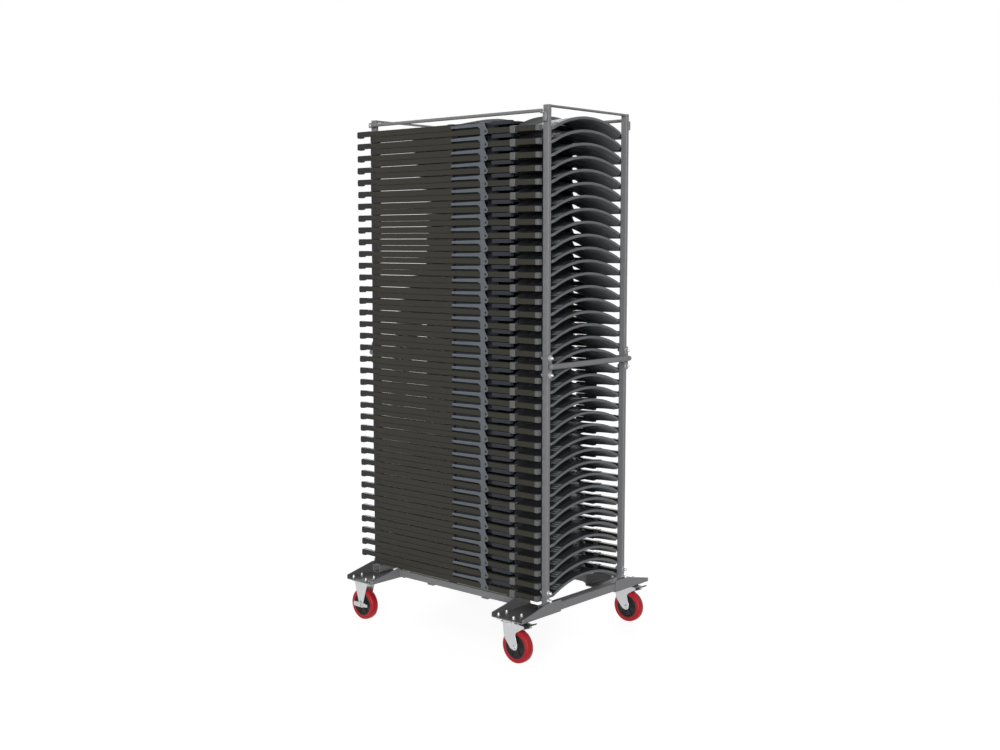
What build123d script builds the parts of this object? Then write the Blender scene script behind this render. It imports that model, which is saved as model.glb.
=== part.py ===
from build123d import *

import os
from math import asin, cos, hypot, sin

# Trolley for folded chairs: two end frames joined by side rails, on two swivel and two rigid
# castors, with the chairs lying face down between four posts under two swing-up bars.
# Millimetres. X runs along the trolley, with the swivel castors at +X, and -Y is the near side.
# Every piece is modelled about the middle of the four posts, and save() then moves it so that
# the origin lies on the floor under the middle of the loaded trolley.

# Frame: posts, end beams and side rails
overall_height = 1900.0
post_pitch_x = 844.0
post_depth = 25.0
post_width = 15.0
post_wall = 1.5
post_side_gap = 6.0
beam_width = 40.0
beam_height = 30.0
beam_wall = 2.0
beam_overhang = 8.5
spigot_height = 70.0
spigot_fit = 0.1
rail_width = 40.0
rail_height = 25.0
rail_wall = 2.0
rail_inset = 8.5
socket_wall = 2.3
socket_fit = 0.2
socket_length = 28.0
strap_x = 138.0
strap_width = 30.0
strap_thickness = 5.0
top_bar_width = 20.0
top_bar_thickness = 6.0

# Deck strips: T sections on the rails that carry the chair tubes
strip_height = 14.5
strip_flange = 4.0
strip_web = 4.0
strip_overlap = 12.0
strip_length = 245.0
strip_pitch_x = 285.0

# Castor brackets: folded sheet trays that reach out past the posts
bracket_sheet = 4.0
bracket_width = 145.0
bracket_inset = 65.5
bracket_reach = 140.5
bracket_corner = 6.0
outer_flange_height = 45.0
inner_flange_height = 40.0
flange_tip_height = 16.0

# Push bars, one across each end
push_bar_height = 1021.0
push_bar_diameter = 20.0
push_bar_inset = 0.5
push_bar_seat = 0.1
push_plate_width = 25.0
push_plate_height = 84.0
push_plate_thickness = 3.0

# Retaining bars over the stack, their pivots and their keepers
retainer_diameter = 12.0
retainer_drop = 20.0
retainer_overhang = 2.0
retainer_eye = 18.0
pivot_diameter = 8.0
pivot_head = 14.0
pivot_head_height = 5.0
keeper_sheet = 3.0
keeper_width = 20.0
keeper_tail = 28.0
keeper_lip = 4.0
keeper_room = 1.0

# Castors
castor_height = 155.0
castor_reach = 97.5
swivel_inset = 92.0
rigid_inset = 55.0
castor_trail = 32.0
wheel_diameter = 120.0
tread_width = 32.0
hub_diameter = 86.0
hub_width = 36.0
rim_flat_angle = 15.0
axle_diameter = 12.0
axle_head = 20.0
axle_head_height = 6.0
plate_length = 95.0
plate_width = 65.0
plate_thickness = 3.0
fork_wall = 3.0
fork_side_gap = 0.5
fork_end = 26.0
crown_length = 60.0
crown_thickness = 6.0
race_diameter = 56.0
race_height = 9.0
king_pin_diameter = 14.0
king_pin_head = 22.0
king_pin_head_height = 4.0
rigid_fork_top = 70.0
rigid_fork_shoulder = 12.0

# Brakes: a foot pedal on each swivel fork, a side lever on each rigid one
pedal_pivot_x = 42.0
pedal_pivot_drop = 21.0
pedal_ear = 14.0
pedal_barrel = 9.0
pedal_reach = 50.0
pedal_rise = 12.0
pedal_thickness = 4.0
shoe_start = 4.0
shoe_length = 10.0
shoe_drop = 12.5
lever_length = 76.0
lever_wide_end = 17.0
lever_narrow_end = 11.0
lever_boss = 20.0
lever_thickness = 4.0

# Folded chairs, lying face down with their feet at -X
chair_pitch = 44.8
chair_width = 503.0
chair_tube_width = 18.0
chair_tube_height = 20.0
chair_leg_height = 22.0
chair_leg_gap = 1.4
chair_end_inset = 10.0
rear_foot_reach = 74.0
chair_leg_end_x = 0.0
chair_top_room = 15.0
brace_size = 12.0
front_brace_reach = 150.0
front_brace_rise = 3.0
rear_brace_reach = 134.0
hinge_arm_start_x = -12.0
hinge_arm_height = 11.0
hinge_plate_start_x = 140.0
hinge_plate_end_x = 166.0
hinge_lug_x = 184.0
hinge_plate_thickness = 3.0
hinge_plate_gap = 0.3
back_head_reach = 8.0
back_length = 158.0
back_side_gap = 9.5
back_thickness = 10.0
back_radius = 440.0
back_flats = 5
back_crest = 50.0
back_flare_length = 48.0
back_flare_rise = 15.0
back_strip_inset = 2.0
back_strip_gap = 14.0
back_strip_top = -1.0
back_strip_height = 8.0
seat_start_x = -185.0
seat_bend_x = 95.0
seat_end_x = 262.0
seat_thickness = 8.0
seat_crest = 62.0
seat_end_crest = 37.0
seat_rim_top = 31.0
seat_rim_bottom = 12.5
seat_flat_width = 170.0

# Running fits and seats
pin_clearance = 0.05
seat_gap = 0.3

# Levels that follow from the sizes above
axle_z = wheel_diameter / 2
beam_bottom = castor_height + bracket_sheet
beam_top = beam_bottom + beam_height
rail_bottom = beam_bottom + socket_wall + socket_fit
rail_middle = rail_bottom + rail_height / 2
rail_top = rail_bottom + rail_height
deck_z = rail_top + strip_height
retainer_z = overall_height - retainer_drop
plate_bottom = castor_height - plate_thickness
crown_top = plate_bottom - race_height - seat_gap
crown_bottom = crown_top - crown_thickness
pedal_pivot_z = castor_height - pedal_pivot_drop

# Places that follow along X and Y
post_x = post_pitch_x / 2
chair_tube_y = (chair_width - chair_tube_width) / 2
chair_inner_y = chair_width / 2 - chair_tube_width
post_outer_y = chair_inner_y - post_side_gap
post_y = post_outer_y - post_width / 2
post_inner_y = post_y - post_width / 2
post_outer_x = post_x + post_depth / 2
bracket_outer_x = post_x + beam_width / 2 + bracket_sheet
bracket_inner_x = bracket_outer_x - bracket_width
bracket_start_y = post_outer_y - bracket_inset
bracket_end_y = post_outer_y + bracket_reach
rail_y = post_inner_y - rail_inset
castor_y = post_outer_y + castor_reach
swivel_x = bracket_outer_x - swivel_inset
wheel_x = swivel_x + castor_trail
rigid_x = rigid_inset - bracket_outer_x
fork_inner = hub_width + 2 * fork_side_gap
fork_outer = fork_inner + 2 * fork_wall
retainer_y = post_outer_y + keeper_sheet + keeper_room + retainer_diameter / 2
retainer_end_x = post_x + retainer_overhang
chair_head_x = post_x - chair_end_inset
chair_front_foot_x = -chair_head_x
chair_rear_foot_x = chair_front_foot_x - rear_foot_reach
front_brace_x = chair_front_foot_x + front_brace_reach
rear_brace_x = chair_rear_foot_x + rear_brace_reach
back_end_x = post_x + back_head_reach
back_flare_x = back_end_x - back_length + back_flare_length
back_strip_start_x = back_end_x - back_length + back_strip_inset
back_strip_end_x = chair_head_x - back_strip_gap
back_half_width = post_inner_y - back_side_gap
push_bar_x = post_outer_x + push_plate_thickness + push_bar_seat + push_bar_diameter / 2
trolley_shift = -(chair_rear_foot_x + push_bar_x + push_bar_diameter / 2) / 2

# The stack: as many chairs as fit under the retaining bars with room to lift them
chair_first_z = deck_z + chair_tube_height / 2
leg_middle = chair_tube_height / 2 + chair_leg_gap + chair_leg_height / 2
leg_top = leg_middle + chair_leg_height / 2
stack_room = retainer_z - retainer_diameter / 2 - chair_top_room - leg_top - chair_first_z
chair_levels = [chair_first_z + i * chair_pitch for i in range(int(stack_room / chair_pitch) + 1)]

os.makedirs("parts", exist_ok=True)


def save(piece, name):
    """Move a piece from the middle of the posts to the shared origin, and write it."""
    moved = Pos(trolley_shift, 0, 0) * piece
    moved.label = name
    export_step(moved, f"parts/{name}.step")


def save_sides(piece, name):
    """Write a near piece and its mirror image on the far side."""
    save(piece, f"{name}_near")
    save(piece.mirror(Plane.XZ), f"{name}_far")


def save_ends(piece, name):
    """Write a right piece and its mirror image at the left end."""
    save(piece, f"{name}_right")
    save(piece.mirror(Plane.YZ), f"{name}_left")


def save_corners(piece, name):
    """Write a near right piece and its mirror images at the other three corners."""
    for part, end in ((piece, "right"), (piece.mirror(Plane.YZ), "left")):
        save(part, f"{name}_near_{end}")
        save(part.mirror(Plane.XZ), f"{name}_far_{end}")


def upright(x, y):
    """A plane facing -Y whose sketch axes are X from x and Z from the floor."""
    return Plane((x, y, 0), x_dir=(1, 0, 0), z_dir=(0, -1, 0))


# Posts: rectangular tubes with a welded cap, standing on the end beams
with BuildPart() as post:
    with BuildSketch(Plane((post_x, -post_y, beam_top))):
        Rectangle(post_depth, post_width)
        Rectangle(post_depth - 2 * post_wall, post_width - 2 * post_wall, mode=Mode.SUBTRACT)
    extrude(amount=overall_height - beam_top)
    with BuildSketch(Plane((post_x, -post_y, overall_height))):
        Rectangle(post_depth, post_width)
    extrude(amount=-post_wall)
save_corners(post.part, "post")

# Post spigots: bars on the end beams that the posts slip over
with BuildPart() as post_spigots:
    with BuildSketch(Plane((post_x, -post_y, beam_top))):
        Rectangle(
            post_depth - 2 * post_wall - 2 * spigot_fit,
            post_width - 2 * post_wall - 2 * spigot_fit,
        )
    extrude(amount=spigot_height)
    mirror(about=Plane.XZ)
    mirror(about=Plane.YZ)
save(post_spigots.part, "post_spigots")

# End beams: tubes across each end, lying in the castor brackets
with BuildPart() as end_beam:
    with BuildSketch(upright(post_x, 0)):
        with Locations((0, beam_bottom + beam_height / 2)):
            Rectangle(beam_width, beam_height)
            Rectangle(beam_width - 2 * beam_wall, beam_height - 2 * beam_wall, mode=Mode.SUBTRACT)
    extrude(amount=post_outer_y + beam_overhang, both=True)
save_ends(end_beam.part, "end_beam")


def flange_outline(full_height):
    """Side outline of a bracket flange, level past the post and tapering to its tip."""
    with BuildLine() as outline:
        Polyline(
            (bracket_start_y, castor_height),
            (bracket_end_y, castor_height),
            (bracket_end_y, castor_height + flange_tip_height),
            (post_outer_y + beam_overhang, castor_height + full_height),
            (bracket_start_y, castor_height + full_height),
            close=True,
        )
    return outline.line


# Castor brackets: a flat tray with an outer and an inner flange, cut to round corners at its tip
with BuildPart() as castor_bracket:
    with BuildSketch(Plane.XY.offset(castor_height)):
        with Locations((bracket_inner_x, bracket_start_y)):
            Rectangle(bracket_width, bracket_end_y - bracket_start_y, align=Align.MIN)
    extrude(amount=bracket_sheet)
    with BuildSketch(Plane.YZ.offset(bracket_outer_x)):
        add(flange_outline(outer_flange_height))
        make_face()
    extrude(amount=-bracket_sheet)
    with BuildSketch(Plane.YZ.offset(bracket_inner_x)):
        add(flange_outline(inner_flange_height))
        make_face()
    extrude(amount=bracket_sheet)
    tip_corners = castor_bracket.edges().filter_by(Axis.Z).group_by(Axis.Y)[-1]
    fillet(tip_corners.sort_by(Axis.X)[0], bracket_corner)
    fillet(castor_bracket.edges().filter_by(Axis.Z).sort_by(Axis.X)[-1], bracket_corner)
save_corners(castor_bracket.part.mirror(Plane.XZ), "castor_bracket")

# Rail sockets: short sleeves on the inner flanges that take the rail ends
with BuildPart() as rail_sockets:
    with BuildSketch(Plane.YZ.offset(bracket_inner_x)):
        with Locations((rail_y, rail_middle)):
            Rectangle(
                rail_width + 2 * (socket_fit + socket_wall),
                rail_height + 2 * (socket_fit + socket_wall),
            )
            Rectangle(
                rail_width + 2 * socket_fit,
                rail_height + 2 * socket_fit,
                mode=Mode.SUBTRACT,
            )
    extrude(amount=-socket_length)
    mirror(about=Plane.XZ)
    mirror(about=Plane.YZ)
save(rail_sockets.part, "rail_sockets")

# Side rails: tubes along the trolley between the sockets
with BuildPart() as side_rail:
    with BuildSketch(Plane.YZ):
        with Locations((-rail_y, rail_middle)):
            Rectangle(rail_width, rail_height)
            Rectangle(rail_width - 2 * rail_wall, rail_height - 2 * rail_wall, mode=Mode.SUBTRACT)
    extrude(amount=bracket_inner_x, both=True)
save_sides(side_rail.part, "side_rail")

# Cross straps: flat bars under the rails that hold them parallel
with BuildPart() as cross_straps:
    with BuildSketch(Plane.XY.offset(rail_bottom)):
        with Locations((-strap_x, 0), (strap_x, 0)):
            Rectangle(strap_width, 2 * rail_y + rail_width)
    extrude(amount=-strap_thickness)
save(cross_straps.part, "cross_straps")

# Deck strips: T sections on the rails, with flanges that reach out under the chair tubes
with BuildPart() as deck_strips:
    with BuildSketch(Plane.YZ.offset((strip_pitch_x - strip_length) / 2)):
        with Locations((rail_y, deck_z - strip_flange)):
            Rectangle(strip_web, strip_height - strip_flange, align=(Align.CENTER, Align.MAX))
        with Locations((chair_inner_y + strip_overlap, deck_z)):
            Rectangle(
                chair_inner_y + strip_overlap - rail_y + rail_width / 2,
                strip_flange,
                align=Align.MAX,
            )
    extrude(amount=strip_length)
    mirror(about=Plane.XZ)
    mirror(about=Plane.YZ)
save(deck_strips.part, "deck_strips")

# Top bars: flats between the post tops at each end
with BuildPart() as top_bar:
    with BuildSketch(Plane((post_x, 0, overall_height))):
        Rectangle(top_bar_width, 2 * post_inner_y)
    extrude(amount=-top_bar_thickness)
save_ends(top_bar.part, "top_bar")

# Push bars: round tubes across each end, with plates that bolt to the posts
with BuildPart() as push_bars:
    with BuildSketch(upright(push_bar_x, 0)):
        with Locations((0, push_bar_height)):
            Circle(push_bar_diameter / 2)
    extrude(amount=post_outer_y - push_bar_inset, both=True)
    mirror(about=Plane.YZ)
save(push_bars.part, "push_bars")

with BuildPart() as push_bar_plates:
    with BuildSketch(Plane.YZ.offset(post_outer_x)):
        with Locations((post_y, push_bar_height), (-post_y, push_bar_height)):
            Rectangle(push_plate_width, push_plate_height)
    extrude(amount=push_plate_thickness)
    mirror(about=Plane.YZ)
save(push_bar_plates.part, "push_bar_plates")

# Retaining bars: round bars over the stack with a pivot block at the left posts
block_inner_y = post_outer_y + seat_gap
block_outer_y = retainer_y + retainer_diameter / 2
with BuildPart() as retaining_bar:
    with BuildSketch(Plane.YZ.offset(retainer_end_x)):
        with Locations((-retainer_y, retainer_z)):
            Circle(retainer_diameter / 2)
    extrude(amount=-retainer_end_x - post_x)
    with BuildSketch(upright(-post_x, -block_inner_y)):
        with Locations((0, retainer_z)):
            Rectangle(retainer_eye, retainer_eye)
    extrude(amount=block_outer_y - block_inner_y)
    with BuildSketch(upright(-post_x, -block_inner_y)):
        with Locations((0, retainer_z)):
            Circle(pivot_diameter / 2 + pin_clearance)
    extrude(amount=block_outer_y - block_inner_y, mode=Mode.SUBTRACT)
save_sides(retaining_bar.part, "retaining_bar")

# Pivot studs: shanks on the left posts that run through the blocks, with a hexagon head
stud_head_y = block_outer_y + seat_gap
with BuildPart() as bar_pivot_studs:
    with BuildSketch(upright(-post_x, -post_outer_y)):
        with Locations((0, retainer_z)):
            Circle(pivot_diameter / 2)
    extrude(amount=stud_head_y - post_outer_y)
    with BuildSketch(upright(-post_x, -stud_head_y)):
        with Locations((0, retainer_z)):
            RegularPolygon(pivot_head / 2, 6)
    extrude(amount=pivot_head_height)
    mirror(about=Plane.XZ)
save(bar_pivot_studs.part, "bar_pivot_studs")

# Bar keepers: open hooks on the right posts that the free ends drop into
keeper_floor = retainer_z - retainer_diameter / 2 - seat_gap
keeper_reach = retainer_diameter + 2 * keeper_room + 2 * keeper_sheet
with BuildPart() as bar_keepers:
    with BuildSketch(Plane.YZ.offset(post_x - keeper_width / 2)):
        with Locations((post_outer_y, keeper_floor)):
            Rectangle(keeper_reach, keeper_sheet, align=(Align.MIN, Align.MAX))
            Rectangle(keeper_sheet, keeper_tail, align=(Align.MIN, Align.MAX))
        with Locations((post_outer_y + keeper_reach, keeper_floor - keeper_sheet)):
            Rectangle(
                keeper_sheet,
                keeper_sheet + retainer_diameter / 2 + keeper_lip,
                align=(Align.MAX, Align.MIN),
            )
    extrude(amount=keeper_width)
    mirror(about=Plane.XZ)
save(bar_keepers.part, "bar_keepers")

# Swivel plates: top plate, ball race and king pin under each right bracket
with BuildPart() as swivel_plates:
    with BuildSketch(Plane((swivel_x, castor_y, castor_height))):
        Rectangle(plate_length, plate_width)
    extrude(amount=-plate_thickness)
    with BuildSketch(Plane((swivel_x, castor_y, plate_bottom))):
        Circle(race_diameter / 2)
    extrude(amount=-race_height)
    with BuildSketch(Plane((swivel_x, castor_y, plate_bottom))):
        Circle(king_pin_diameter / 2)
    extrude(amount=crown_bottom - seat_gap - plate_bottom)
    with BuildSketch(Plane((swivel_x, castor_y, crown_bottom - seat_gap))):
        RegularPolygon(king_pin_head / 2, 6)
    extrude(amount=-king_pin_head_height)
    mirror(about=Plane.XZ)
save(swivel_plates.part, "swivel_plates")

# Swivel forks: a crown that turns under the race and two legs raked back to the axle
with BuildPart() as swivel_fork:
    with BuildSketch(upright(swivel_x, -castor_y)):
        with Locations((castor_trail, axle_z)):
            Circle(fork_end / 2)
        with Locations((pedal_pivot_x, pedal_pivot_z)):
            Circle(pedal_ear / 2)
        with Locations((0, crown_top)):
            Rectangle(crown_length, crown_thickness, align=(Align.CENTER, Align.MAX))
        make_hull()
    extrude(amount=fork_outer / 2, both=True)
    with BuildSketch(upright(swivel_x, -castor_y)):
        with Locations((0, crown_bottom)):
            Rectangle(2 * crown_length, crown_bottom, align=(Align.CENTER, Align.MAX))
        with Locations((crown_length / 2, crown_top)):
            Rectangle(crown_length, crown_top, align=(Align.MIN, Align.MAX))
    extrude(amount=fork_inner / 2, both=True, mode=Mode.SUBTRACT)
    with BuildSketch(Plane((swivel_x, -castor_y, crown_top))):
        Circle(king_pin_diameter / 2 + pin_clearance)
    extrude(amount=-crown_thickness, mode=Mode.SUBTRACT)
    with BuildSketch(upright(swivel_x, -castor_y)):
        with Locations((castor_trail, axle_z)):
            Circle(axle_diameter / 2)
    extrude(amount=fork_outer, both=True, mode=Mode.SUBTRACT)
save_sides(swivel_fork.part, "swivel_fork")

# Rigid forks: a top plate with two straight legs, under each left bracket
with BuildPart() as rigid_forks:
    with BuildSketch(upright(rigid_x, -castor_y)):
        with Locations((0, axle_z)):
            Circle(fork_end / 2)
        with Locations((0, plate_bottom)):
            Rectangle(rigid_fork_top, rigid_fork_shoulder, align=(Align.CENTER, Align.MAX))
        make_hull()
    extrude(amount=fork_outer / 2, both=True)
    with BuildSketch(upright(rigid_x, -castor_y)):
        with Locations((0, plate_bottom)):
            Rectangle(2 * rigid_fork_top, plate_bottom, align=(Align.CENTER, Align.MAX))
    extrude(amount=fork_inner / 2, both=True, mode=Mode.SUBTRACT)
    with BuildSketch(Plane((rigid_x, -castor_y, castor_height))):
        Rectangle(plate_length, plate_width)
    extrude(amount=-plate_thickness)
    with BuildSketch(upright(rigid_x, -castor_y)):
        with Locations((0, axle_z)):
            Circle(axle_diameter / 2)
    extrude(amount=fork_outer, both=True, mode=Mode.SUBTRACT)
    mirror(about=Plane.XZ)
save(rigid_forks.part, "rigid_forks")

# Axles: bolts through the forks with a hexagon at each end, longer where a side lever sits
for axle_x, outer_grip, axle_name in (
    (wheel_x, 0.0, "swivel_axle"),
    (rigid_x, lever_thickness + 2 * seat_gap, "rigid_axle"),
):
    near_face = -castor_y - fork_outer / 2 - outer_grip
    far_face = -castor_y + fork_outer / 2
    with BuildPart() as axle:
        with BuildSketch(upright(axle_x, near_face)):
            with Locations((0, axle_z)):
                Circle(axle_diameter / 2)
        extrude(amount=near_face - far_face)
        with BuildSketch(upright(axle_x, near_face), upright(axle_x, far_face + axle_head_height)):
            with Locations((0, axle_z)):
                RegularPolygon(axle_head / 2, 6)
        extrude(amount=axle_head_height)
    save_sides(axle.part, axle_name)

# Wheels: a hub that runs on the axle, with flats round its rim that key the tyre moulded on it
rim_flats = round(360 / rim_flat_angle)
for hub_x, end in ((wheel_x, "right"), (rigid_x, "left")):
    with BuildPart() as hub:
        with BuildSketch(upright(hub_x, -castor_y)):
            with Locations((0, axle_z)):
                RegularPolygon(hub_diameter / 2, rim_flats)
                Circle(axle_diameter / 2 + pin_clearance, mode=Mode.SUBTRACT)
        extrude(amount=hub_width / 2, both=True)
    save(hub.part, f"hub_near_{end}")
    save(hub.part.mirror(Plane.XZ), f"hub_far_{end}")

    with BuildPart() as tyre:
        with BuildSketch(upright(hub_x, -castor_y)):
            with Locations((0, axle_z)):
                Circle(wheel_diameter / 2)
                RegularPolygon(hub_diameter / 2, rim_flats, mode=Mode.SUBTRACT)
        extrude(amount=tread_width / 2, both=True)
    save(tyre.part, f"tyre_near_{end}")
    save(tyre.part.mirror(Plane.XZ), f"tyre_far_{end}")

# Brake pedals: a foot plate on a barrel that pivots between the swivel fork's legs
pedal_half_width = fork_inner / 2 - seat_gap
with BuildPart() as brake_pedal:
    with BuildSketch(upright(swivel_x, -castor_y)):
        with Locations((pedal_pivot_x, pedal_pivot_z)):
            Circle(pedal_barrel / 2)
            Polygon(
                (0, -pedal_thickness / 2),
                (pedal_reach, pedal_rise - pedal_thickness / 2),
                (pedal_reach, pedal_rise + pedal_thickness / 2),
                (0, pedal_thickness / 2),
                align=None,
            )
    extrude(amount=pedal_half_width, both=True)
    with BuildSketch(upright(swivel_x, -castor_y)):
        with Locations((pedal_pivot_x + shoe_start, pedal_pivot_z)):
            Rectangle(shoe_length, shoe_drop, align=(Align.MIN, Align.MAX))
    extrude(amount=tread_width / 2, both=True)
save_sides(brake_pedal.part, "brake_pedal")

# Side levers: flat brake levers that turn on the rigid axles, outside the outer legs
with BuildPart() as side_lever:
    with BuildSketch(upright(rigid_x, -castor_y - fork_outer / 2 - seat_gap)):
        with Locations((0, axle_z)):
            Polygon(
                (-lever_length / 2, -lever_wide_end / 2),
                (0, -lever_boss / 2),
                (lever_length / 2, -lever_narrow_end / 2),
                (lever_length / 2, lever_narrow_end / 2),
                (0, lever_boss / 2),
                (-lever_length / 2, lever_wide_end / 2),
                align=None,
            )
            Circle(axle_diameter / 2 + pin_clearance, mode=Mode.SUBTRACT)
    extrude(amount=lever_thickness)
save_sides(side_lever.part, "side_lever")

# Chair main tubes: the front frame of each folded chair, from foot to head
with BuildPart() as chair_main_tubes:
    with BuildSketch(Plane.YZ.offset(chair_front_foot_x)):
        with Locations(*[(chair_tube_y, z) for z in chair_levels]):
            Rectangle(chair_tube_width, chair_tube_height)
    extrude(amount=chair_head_x - chair_front_foot_x)
    mirror(about=Plane.XZ)
save(chair_main_tubes.part, "chair_main_tubes")

# Chair rear legs: folded flat onto the main tubes, reaching out past them at the feet
with BuildPart() as chair_rear_legs:
    with BuildSketch(Plane.YZ.offset(chair_rear_foot_x)):
        with Locations(*[(chair_tube_y, z + leg_middle) for z in chair_levels]):
            Rectangle(chair_tube_width, chair_leg_height)
    extrude(amount=chair_leg_end_x - chair_rear_foot_x)
    mirror(about=Plane.XZ)
save(chair_rear_legs.part, "chair_rear_legs")

# Chair braces: a square bar between the front feet and one between the rear legs of each chair
with BuildPart() as chair_front_braces:
    with BuildSketch(upright(front_brace_x, 0)):
        with Locations(*[(0, z + front_brace_rise) for z in chair_levels]):
            Rectangle(brace_size, brace_size)
    extrude(amount=chair_inner_y, both=True)
save(chair_front_braces.part, "chair_front_braces")

with BuildPart() as chair_rear_braces:
    with BuildSketch(upright(rear_brace_x, 0)):
        with Locations(*[(0, z + leg_middle) for z in chair_levels]):
            Rectangle(brace_size, brace_size)
    extrude(amount=chair_inner_y, both=True)
save(chair_rear_braces.part, "chair_rear_braces")

# Chair hinge plates: the arm and pivot plate outside each tube, standing on the plate below
hinge_plate_bottom = leg_top - chair_pitch + hinge_plate_gap
with BuildPart() as chair_hinge_plates:
    with BuildSketch(upright(0, -chair_width / 2)):
        with Locations(*[(0, z) for z in chair_levels]):
            Polygon(
                (hinge_arm_start_x, leg_middle - hinge_arm_height / 2),
                (hinge_plate_start_x, leg_middle - hinge_arm_height / 2),
                (hinge_plate_start_x, hinge_plate_bottom),
                (hinge_plate_end_x, hinge_plate_bottom),
                (hinge_lug_x, 0),
                (hinge_plate_end_x, leg_top),
                (hinge_arm_start_x, leg_middle + hinge_arm_height / 2),
                align=None,
            )
    extrude(amount=hinge_plate_thickness)
    mirror(about=Plane.XZ)
save(chair_hinge_plates.part, "chair_hinge_plates")


def shell_outline(crown, thickness):
    """Close a panel's upper outline, left to right, into a section of even depth."""
    return [*crown, *[(y, z - thickness) for y, z in reversed(crown)]]


# Chair backs: panels bowed round the sitter, so crown up here. The head edge stands out between
# the posts and the lower part flares up.
back_angle = asin(back_half_width / back_radius)
back_turns = [back_angle * (2 * i / back_flats - 1) for i in range(back_flats + 1)]
back_crown = [(back_radius * sin(t), back_crest + back_radius * (cos(t) - 1)) for t in back_turns]
with BuildPart() as chair_backs:
    with BuildSketch(Plane.YZ.offset(back_flare_x)) as back_section:
        with Locations(*[(0, z) for z in chair_levels]):
            Polygon(*shell_outline(back_crown, back_thickness), align=None)
    extrude(amount=back_end_x - back_flare_x)
    extrude(
        back_section.sketch,
        amount=hypot(back_flare_length, back_flare_rise),
        dir=(-back_flare_length, 0, back_flare_rise),
    )
save(chair_backs.part, "chair_backs")

# Chair back strips: flats that hold each back to the main tubes along both its sides
with BuildPart() as chair_back_strips:
    with BuildSketch(Plane.YZ.offset(back_strip_start_x)):
        with Locations(*[(chair_inner_y, z + back_strip_top) for z in chair_levels]):
            Rectangle(chair_inner_y - back_half_width, back_strip_height, align=Align.MAX)
    extrude(amount=back_strip_end_x - back_strip_start_x)
    mirror(about=Plane.XZ)
save(chair_back_strips.part, "chair_back_strips")

# Chair seats: dished panels, so raised in the middle here, between the rear legs. The part next to
# the back flattens out, and a deep rim runs along both sides.
def seat_outline(crest):
    side = chair_inner_y
    half = seat_flat_width / 2
    under = crest - seat_thickness
    top = [(-side, seat_rim_top), (-half, crest), (half, crest), (side, seat_rim_top)]
    bottom = [(side, seat_rim_bottom), (half, under), (-half, under), (-side, seat_rim_bottom)]
    return top + bottom


with BuildPart() as chair_seat:
    with BuildSketch(Plane.YZ.offset(seat_bend_x)):
        Polygon(*seat_outline(seat_crest), align=None)
    extrude(amount=seat_start_x - seat_bend_x)
    for seat_x, crest in ((seat_bend_x, seat_crest), (seat_end_x, seat_end_crest)):
        with BuildSketch(Plane.YZ.offset(seat_x)):
            Polygon(*seat_outline(crest), align=None)
    loft(ruled=True)
with BuildPart() as chair_seats:
    with Locations(*[(0, 0, z) for z in chair_levels]):
        add(chair_seat.part)
save(chair_seats.part, "chair_seats")
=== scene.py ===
"""Looks of a loaded folding chair trolley: pieces are modelled in millimetres about the middle of
the four posts, as the solids are, and moved to the shared frame in metres when they are finished."""

import math
import random

import bmesh
import bpy
from mathutils import Matrix, Vector


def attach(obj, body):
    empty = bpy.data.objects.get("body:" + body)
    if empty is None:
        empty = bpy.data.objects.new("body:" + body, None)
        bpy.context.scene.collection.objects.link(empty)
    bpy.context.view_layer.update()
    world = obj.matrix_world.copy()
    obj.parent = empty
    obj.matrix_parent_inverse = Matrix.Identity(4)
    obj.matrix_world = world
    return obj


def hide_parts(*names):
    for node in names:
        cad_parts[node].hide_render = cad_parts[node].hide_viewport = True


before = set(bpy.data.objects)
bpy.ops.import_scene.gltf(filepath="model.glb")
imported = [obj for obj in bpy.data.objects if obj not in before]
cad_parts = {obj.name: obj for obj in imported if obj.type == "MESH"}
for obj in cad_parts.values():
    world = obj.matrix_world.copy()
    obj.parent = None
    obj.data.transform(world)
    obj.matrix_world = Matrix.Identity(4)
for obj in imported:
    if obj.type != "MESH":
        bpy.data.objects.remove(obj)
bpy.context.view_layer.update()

MM = 0.001
POST_MIDDLE_X = 14.2
WORN_AND_LIT_EDGE = "worn_and_lit_edge"
LIGHT_SHADE_TONE = "painted_light_shade_and_tone"
SMOOTH_ANGLE = math.radians(50)

# Frame
POST_X = 422.0
POST_Y = 220.0
POST_DEPTH = 25.0
POST_WIDTH = 15.0
POST_INNER_X = POST_X - POST_DEPTH / 2
POST_OUTER_X = POST_X + POST_DEPTH / 2
POST_OUTER_Y = POST_Y + POST_WIDTH / 2
POST_TOP = 1900.0
POST_BOLTS_Z = (204.0, 232.0)
TOP_FLAT_HALF = 10.0
TOP_FLAT_THICKNESS = 6.0
BEAM_BOTTOM = 159.0
BEAM_TOP = 189.0
BEAM_HALF = 20.0
BEAM_END_Y = 236.0
BEAM_WALL = 2.0
BEAM_SINK = 60.0
RAIL_Y = 204.0
RAIL_HALF = 20.0
RAIL_BOTTOM = 161.5
RAIL_TOP = 186.5
SOCKET_START_X = 276.0
SOCKET_WALL = 2.5
SOCKET_WELD_X = 303.6
STRAP_X = (123.0, 153.0)
STRAP_THICKNESS = 5.0
STRIP_X = (20.0, 265.0)
STRIP_Y = (-245.5, -184.0)
STRIP_Z = (197.0, 201.0)
STRIP_LIP_END_X = 250.0
STRIP_LIP_TOP = 226.0
BRACKET_INNER_X = 301.0
BRACKET_OUTER_X = 446.0
BRACKET_START_Y = 162.0
BRACKET_END_Y = 368.0
BRACKET_BEND = 6.5
BRACKET_BEND_SAG = 1.9
INNER_FLANGE = 40.0
OUTER_FLANGE = 45.0
FLANGE_TIP = 16.0
FLANGE_REACH = 60.0
TRAY_EYE_HEIGHT = 60.0
CASTOR_TOP = 155.0
SHEET = 4.0

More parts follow.
